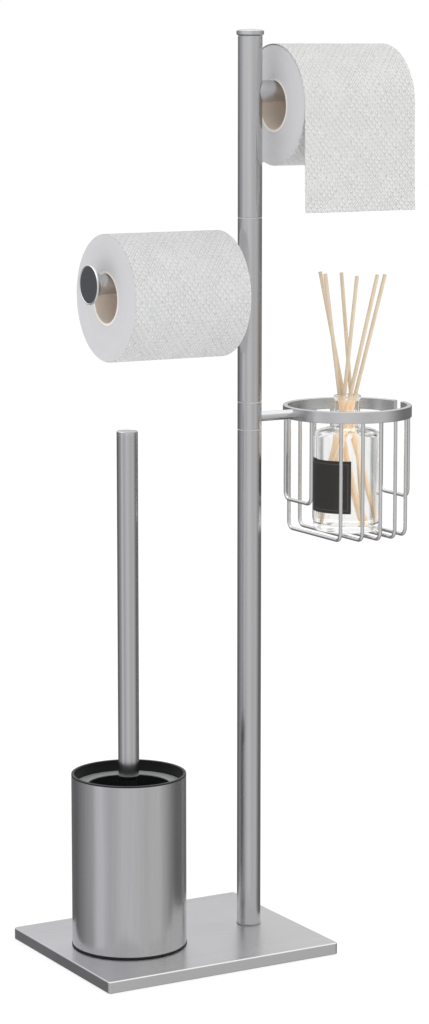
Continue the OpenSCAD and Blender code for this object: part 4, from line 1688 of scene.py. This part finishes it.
@dataclass
class Brush:
    """The brush: a steel handle with a cap, a dark plug and stem, and the bristles.

    Attributes:
        wall: Wall of the handle's tube.
        bevel: Bevel of the cap.
        tuft_rows: Rows of tufts round the head.
        tufts: Tufts in a row.
        end_rings: Rings of tufts at the head's end, as (share of its radius, tufts) pairs.
        strands: Bristles in a tuft.
        strand_r: Radius of a bristle at its root.
        taper: Share of that radius that it has at its tip.
        heel: Rounding of the head's lower edge.
        fan: How far a tuft at the side spreads, and one at the head's end, in radians.
        sides: How many points go round the handle.
        stem_sides: How many points go round the stem.
    """

    wall: float = 1 * MM
    bevel: float = 1 * MM
    tuft_rows: int = 13
    tufts: int = 22
    end_rings: tuple[tuple[float, int], ...] = ((0.25, 9), (0.5, 14), (0.75, 20))
    strands: int = 8
    strand_r: float = 0.26 * MM
    taper: float = 0.6
    heel: float = 14 * MM
    fan: tuple[float, float] = (0.055, 0.03)
    sides: int = 96
    stem_sides: int = 72

    @property
    def head(self) -> tuple[np.ndarray, float, Vector]:
        """The middle of the head's lower end, the radius of its roots, and its size."""
        place = Place.of("bristles")
        return np.array(place.foot), Place.of("brush_stem").size.x / 2, place.size

    def handle(self) -> None:
        """The handle's tube and its bevelled cap."""
        tube = Place.of("handle_tube")
        radius = tube.size.x / 2
        outline = tube_outline(radius, radius - self.wall, tube.size.z, 0.15 * MM)
        turn_piece("handle_tube", "brush", BRUSHED_HANDLE, outline, self.sides, loop=True)
        cap = Place.of("handle_cap")
        seat = tube.high.z - cap.low.z
        spigot = radius - self.wall - GAP
        side = rounded([(spigot, 0), (spigot, seat, 0), (radius, seat, 0.1 * MM),
                        (radius, cap.size.z - self.bevel), (radius - self.bevel, cap.size.z)],
                       0.4 * MM)
        outline = [(0, 0), *side, (0, cap.size.z)]
        turn_piece("handle_cap", "brush", POLISHED, outline, self.sides)

    def plug(self) -> None:
        """The dark plug that rounds the handle's lower end into the stem, and the stem."""
        place, tube, stem = (Place.of(n) for n in ("handle_plug", "handle_tube", "brush_stem"))
        foot = tube.low.z - place.low.z
        radius, stem_r = tube.size.x / 2, stem.size.x / 2
        inner = radius - self.wall - GAP
        outline = [(0, 0), (stem_r, 0), *bow((stem_r, foot), (radius - stem_r, foot), (-90, 0), 10),
                   (inner, foot), (inner, place.size.z - 0.5 * MM),
                   (inner - 0.5 * MM, place.size.z), (0, place.size.z)]
        turn_piece("handle_plug", "brush", BLACK, outline, self.sides)
        middle, low = Place.of("bristles").middle, stem.low.z
        shaft = [(0, low), (stem_r * 0.7, low), (stem_r, low + 2 * MM), (stem_r, place.low.z),
                 (0, place.low.z)]
        rows = spun(shaft, Vector((middle.x, middle.y, 0)), steps=self.stem_sides)
        Shape("fine_brush_stem").net(rows).make("brush", BLACK, "brush_stem")

    def strand(self, shape: Shape, draw: random.Random, root: np.ndarray,
               tip: np.ndarray) -> None:
        """Adds one bristle, a little bent and thinner at its tip.

        Args:
            shape: The shape that it goes into.
            draw: What gives its bend.
            root: Where it starts.
            tip: Where it ends.
        """
        share = np.array([0, 0.5, 1])[:, None]
        sag = np.array([0, 0, draw.uniform(-0.8, 0.4)]) * MM
        path = root + (tip - root) * share + sag * np.sin(share * math.pi)
        rings = hose(path, self.strand_r, 4)
        rings[-1] = path[-1] + (rings[-1] - path[-1]) * self.taper
        shape.net(rings).lid(rings[0]).lid(rings[-1])

    def side_tufts(self, shape: Shape, draw: random.Random) -> None:
        """The tufts round the head, in rows that are set half a step apart.

        Args:
            shape: The shape that they go into.
            draw: What spreads their bristles.
        """
        middle, root_r, size = self.head
        for row in range(self.tuft_rows):
            level = self.heel + (size.z - self.heel - 5 * MM) * row / (self.tuft_rows - 1)
            for tuft in range(self.tufts):
                turn = TAU * (tuft + row % 2 / 2) / self.tufts
                root = middle + spoke(turn) * root_r + (0, 0, level)
                for _ in range(self.strands):
                    out = spoke(turn + draw.gauss(0, self.fan[0]))
                    rise = level + draw.uniform(-2.6, 2.6) * MM + 1.5 * MM
                    reach = size.x / 2 - draw.uniform(0.2, 1.2) * MM
                    self.strand(shape, draw, root, middle + out * reach + (0, 0, rise))

    def end_tufts(self, shape: Shape, draw: random.Random) -> None:
        """The tufts at the head's end, which fill its rounded edge.

        Args:
            shape: The shape that they go into.
            draw: What spreads their bristles.
        """
        middle, root_r, size = self.head
        heel = self.heel
        flat_r = size.x / 2 - heel
        for ring, count in self.end_rings:
            for tuft in range(count):
                turn = TAU * tuft / count
                root = middle + spoke(turn) * root_r * ring + (0, 0, heel + 0.5 * MM)
                for _ in range(self.strands):
                    out = spoke(turn + draw.gauss(0, self.fan[1] / (ring + 0.2)))
                    tip_r = (ring + draw.uniform(-0.1, 0.1)) * (flat_r + heel * 0.9)
                    over = max(0.0, tip_r - flat_r) / heel
                    tip_z = heel * (1 - math.sqrt(max(0.0, 1 - over ** 2))) + 0.4 * MM
                    self.strand(shape, draw, root, middle + out * tip_r + (0, 0, tip_z))

    def bristles(self) -> None:
        """The head: tufts that stand out from the stem to its outline."""
        shape = Shape("bristle_head")
        draw = random.Random(SEED)
        self.side_tufts(shape, draw)
        self.end_tufts(shape, draw)
        shape.make("brush", BRISTLE, "bristles", even=False)

    def build(self) -> None:
        """Makes the handle, its plug and stem, and the bristles."""
        self.handle()
        self.plug()
        self.bristles()


def aim(thing: bpy.types.Object, at: Sequence[float], target: Sequence[float]) -> None:
    """Stands a camera or a lamp somewhere and turns it to its target."""
    thing.location = at
    thing.rotation_euler = (Vector(target) - Vector(at)).to_track_quat("-Z", "Y").to_euler()


@dataclass(frozen=True)
class Lamp:
    """A soft square lamp that metal and glass don't mirror.

    Attributes:
        name: Its name.
        at: Where it hangs.
        size: Width of its square.
        power: Its power in watts.
        target: Where it points.
    """

    name: str
    at: tuple[float, float, float]
    size: float
    power: float
    target: tuple[float, float, float] = (0, 0, 0.4)

    def hang(self) -> None:
        """Hangs the lamp and turns it to the stand."""
        data = bpy.data.lights.new(self.name, "AREA")
        data.size = self.size
        data.energy = self.power
        lamp = placed(self.name, data)
        aim(lamp, self.at, self.target)
        lamp.visible_glossy = False
        lamp.visible_transmission = False
        lamp.visible_camera = False


@dataclass(frozen=True)
class Studio:
    """The camera, the floor and the light of a white photo studio.

    Attributes:
        eye: Where the camera stands.
        target: Where it looks.
        lens: Its focal length in millimetres, on a frame that is 36 mm on its long side.
        panels: Brightness of the room round the stand, as (angle from the camera, level).
        high_panels: The same for what the upper part of the stand mirrors.
        seam: Heights between which the mirrored room goes over into its upper part. A height
            is that of a direction, from -1 straight down to 1 straight up.
        horizon: Heights between which it goes over into the sky.
        ceiling: Heights between which the sky goes over into the ceiling.
        sky: Brightness of the room above the horizon.
        above: Brightness of its ceiling.
        behind: Brightness behind the stand, as seen through glass.
        soft: Brightness of the room as dull surfaces see it.
        let_in: How much brighter it is to what stands in glass and oil, which hold light back.
        cool: Tint of the room on one side.
        warm: Tint of the room on the other side.
        ground: How far the floor reaches each way.
        tones: How bright the floor is to the rest of the scene, and to the camera.
        glows: How much it glows to each.
        lamps: The lamps that light dull surfaces and throw the stand's shadow.
    """

    eye: tuple[float, float, float] = (-1.27499, -2.30137, 0.81913)
    target: tuple[float, float, float] = (0.03189, -0.01825, 0.40491)
    lens: float = 104.06
    panels: tuple[tuple[float, float], ...] = (
        (-180, 0.20), (-131, 0.13), (-108, 0.25), (-90, 0.35), (-75, 0.42), (-66, 0.70),
        (-58, 0.72), (-46, 0.55), (-35, 0.51), (-23, 0.60), (-12, 0.68), (0, 0.71), (12, 0.66),
        (23, 0.62), (35, 0.56), (48, 0.60), (61, 0.64), (75, 0.54), (90, 0.31), (108, 0.14),
        (131, 0.16), (180, 0.20))
    high_panels: tuple[tuple[float, float], ...] = (
        (-180, 0.25), (-143, 0.17), (-104, 0.43), (-77, 0.66), (-55, 0.85), (-34, 0.88),
        (-15, 0.92), (4, 0.79), (23, 0.67), (42, 0.63), (63, 0.67), (87, 0.58), (117, 0.40),
        (145, 0.25), (180, 0.25))
    seam: tuple[float, float] = (-0.065, -0.03)
    horizon: tuple[float, float] = (0.03, 0.13)
    ceiling: tuple[float, float] = (0.4, 0.75)
    sky: float = 0.75
    above: float = 1.5
    behind: float = 0.96
    soft: float = 0.84
    let_in: float = 0.8
    cool: Colour = (0.988, 0.988, 1.02, 1.0)
    warm: Colour = (1.0, 0.998, 0.992, 1.0)
    ground: float = 12.0
    tones: tuple[float, float] = (0.8, 0.35)
    glows: tuple[float, float] = (0.26, 0.72)
    lamps: tuple[Lamp, ...] = (Lamp("key", (0.6, -1.5, 2.9), 1.6, 15),
                               Lamp("fill", (0.2, -2.5, 0.35), 0.6, 2))

    def camera(self) -> None:
        """Puts the camera where the photograph was taken."""
        data = bpy.data.cameras.new("camera")
        data.lens = self.lens
        data.clip_end = 50
        camera = placed("camera", data)
        aim(camera, self.eye, self.target)
        bpy.context.scene.camera = camera

    def room(self) -> None:
        """Lights the room: white to the camera, even to dull surfaces, in panels to shiny ones."""
        world = bpy.data.worlds.new("room")
        bpy.context.scene.world = world
        world.cycles.sampling_method = "NONE"
        recipe = Recipe(world)
        x, y, z = recipe.parts(recipe.add("TexCoord", output="Generated"))
        ahead = (Vector(self.eye) - Vector(self.target)).xy.normalized()
        towards = x * ahead.x + y * ahead.y
        beside = y * ahead.x - x * ahead.y
        share = beside.turn_from(towards) / TAU + 0.5
        low, high = (recipe.add("ValToRGB", {"stops": [((angle + 180) / 360, level)
                                                       for angle, level in row]}, {"Fac": share})
                     for row in (self.panels, self.high_panels))
        panels = recipe.mix(z.ramp(*self.seam), low, high)
        level = recipe.mix(z.ramp(*self.horizon), panels, grey(self.sky))
        level = recipe.mix(z.ramp(*self.ceiling), level, grey(self.above))
        tint = recipe.mix(share.ramp(0.42, 0.62), self.cool, self.warm)
        shiny = recipe.add("Mix", {"data_type": "RGBA", "blend_type": "MULTIPLY"},
                           {"Factor_Float": 1.0, "A_Color": level, "B_Color": tint}, 2)
        soft = (z.ramp(-0.2, 0.9) * 0.26 + 0.9) * (beside.ramp(-0.9, 0.2) * 0.14 + 0.86) * self.soft
        soft = soft * (recipe.ray("Transmission Depth").ramp(0, 2) * self.let_in + 1)
        open_side = towards.ramp(-0.25, -0.65).most(z.ramp(0.2, 0.4)).most(z.ramp(-0.17, -0.26))
        backdrop = recipe.mix(open_side * 0.65 + 0.35, panels, grey(self.behind))
        colour = recipe.mix(recipe.ray("Is Transmission Ray"), shiny, backdrop)
        colour = recipe.mix(recipe.ray("Diffuse Depth").ramp(0, 1), colour, soft)
        colour = recipe.mix(recipe.ray("Is Camera Ray"), colour, grey(1))
        recipe.output(recipe.add("Background", {}, {"Color": colour}))

    def floor(self) -> None:
        """A white floor that keeps the stand's shadow and isn't mirrored in metal and glass."""
        mesh = bpy.data.meshes.new("floor")
        half, below = self.ground, -0.2 * MM
        corners = [(-half, -half, below), (half, -half, below), (half, half, below),
                   (-half, half, below)]
        mesh.from_pydata(corners, [], [(0, 1, 2, 3)])
        floor = placed("floor", mesh)
        material = bpy.data.materials.new("floor")
        recipe = Recipe(material)
        seen = recipe.ray("Is Camera Ray")
        mirrored = recipe.ray("Is Glossy Ray").most(recipe.ray("Is Transmission Ray"))
        tone, light = (recipe.mix(seen, *map(grey, pair)) for pair in (self.tones, self.glows))
        dull = recipe.add("BsdfDiffuse", {}, {"Color": tone})
        glow = recipe.add("Emission", {}, {"Color": light})
        lit = recipe.add("AddShader", {}, {0: dull, 1: glow})
        clear = recipe.add("BsdfTransparent")
        recipe.output(recipe.add("MixShader", {}, {0: mirrored, 1: lit, 2: clear}))
        mesh.materials.append(material)

    def build(self) -> None:
        """Sets the camera, the floor and the light."""
        bpy.context.scene.view_settings.view_transform = "Standard"
        self.camera()
        self.room()
        self.floor()
        for lamp in self.lamps:
            lamp.hang()


def main() -> None:
    """Builds the studio and the stand."""
    logging.basicConfig(level=logging.INFO, format="%(name)s %(message)s")
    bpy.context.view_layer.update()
    Studio().build()
    parts = (Base(), Pole(), Arm("middle", Way.LEFT), Arm("upper", Way.RIGHT), Roll("middle"),
             Roll("upper", tail=0.0), DrawnSheet(), Basket(), Diffuser(), Cup(), Brush())
    for part in parts:
        part.build()


if __name__ == "__main__":
    main()
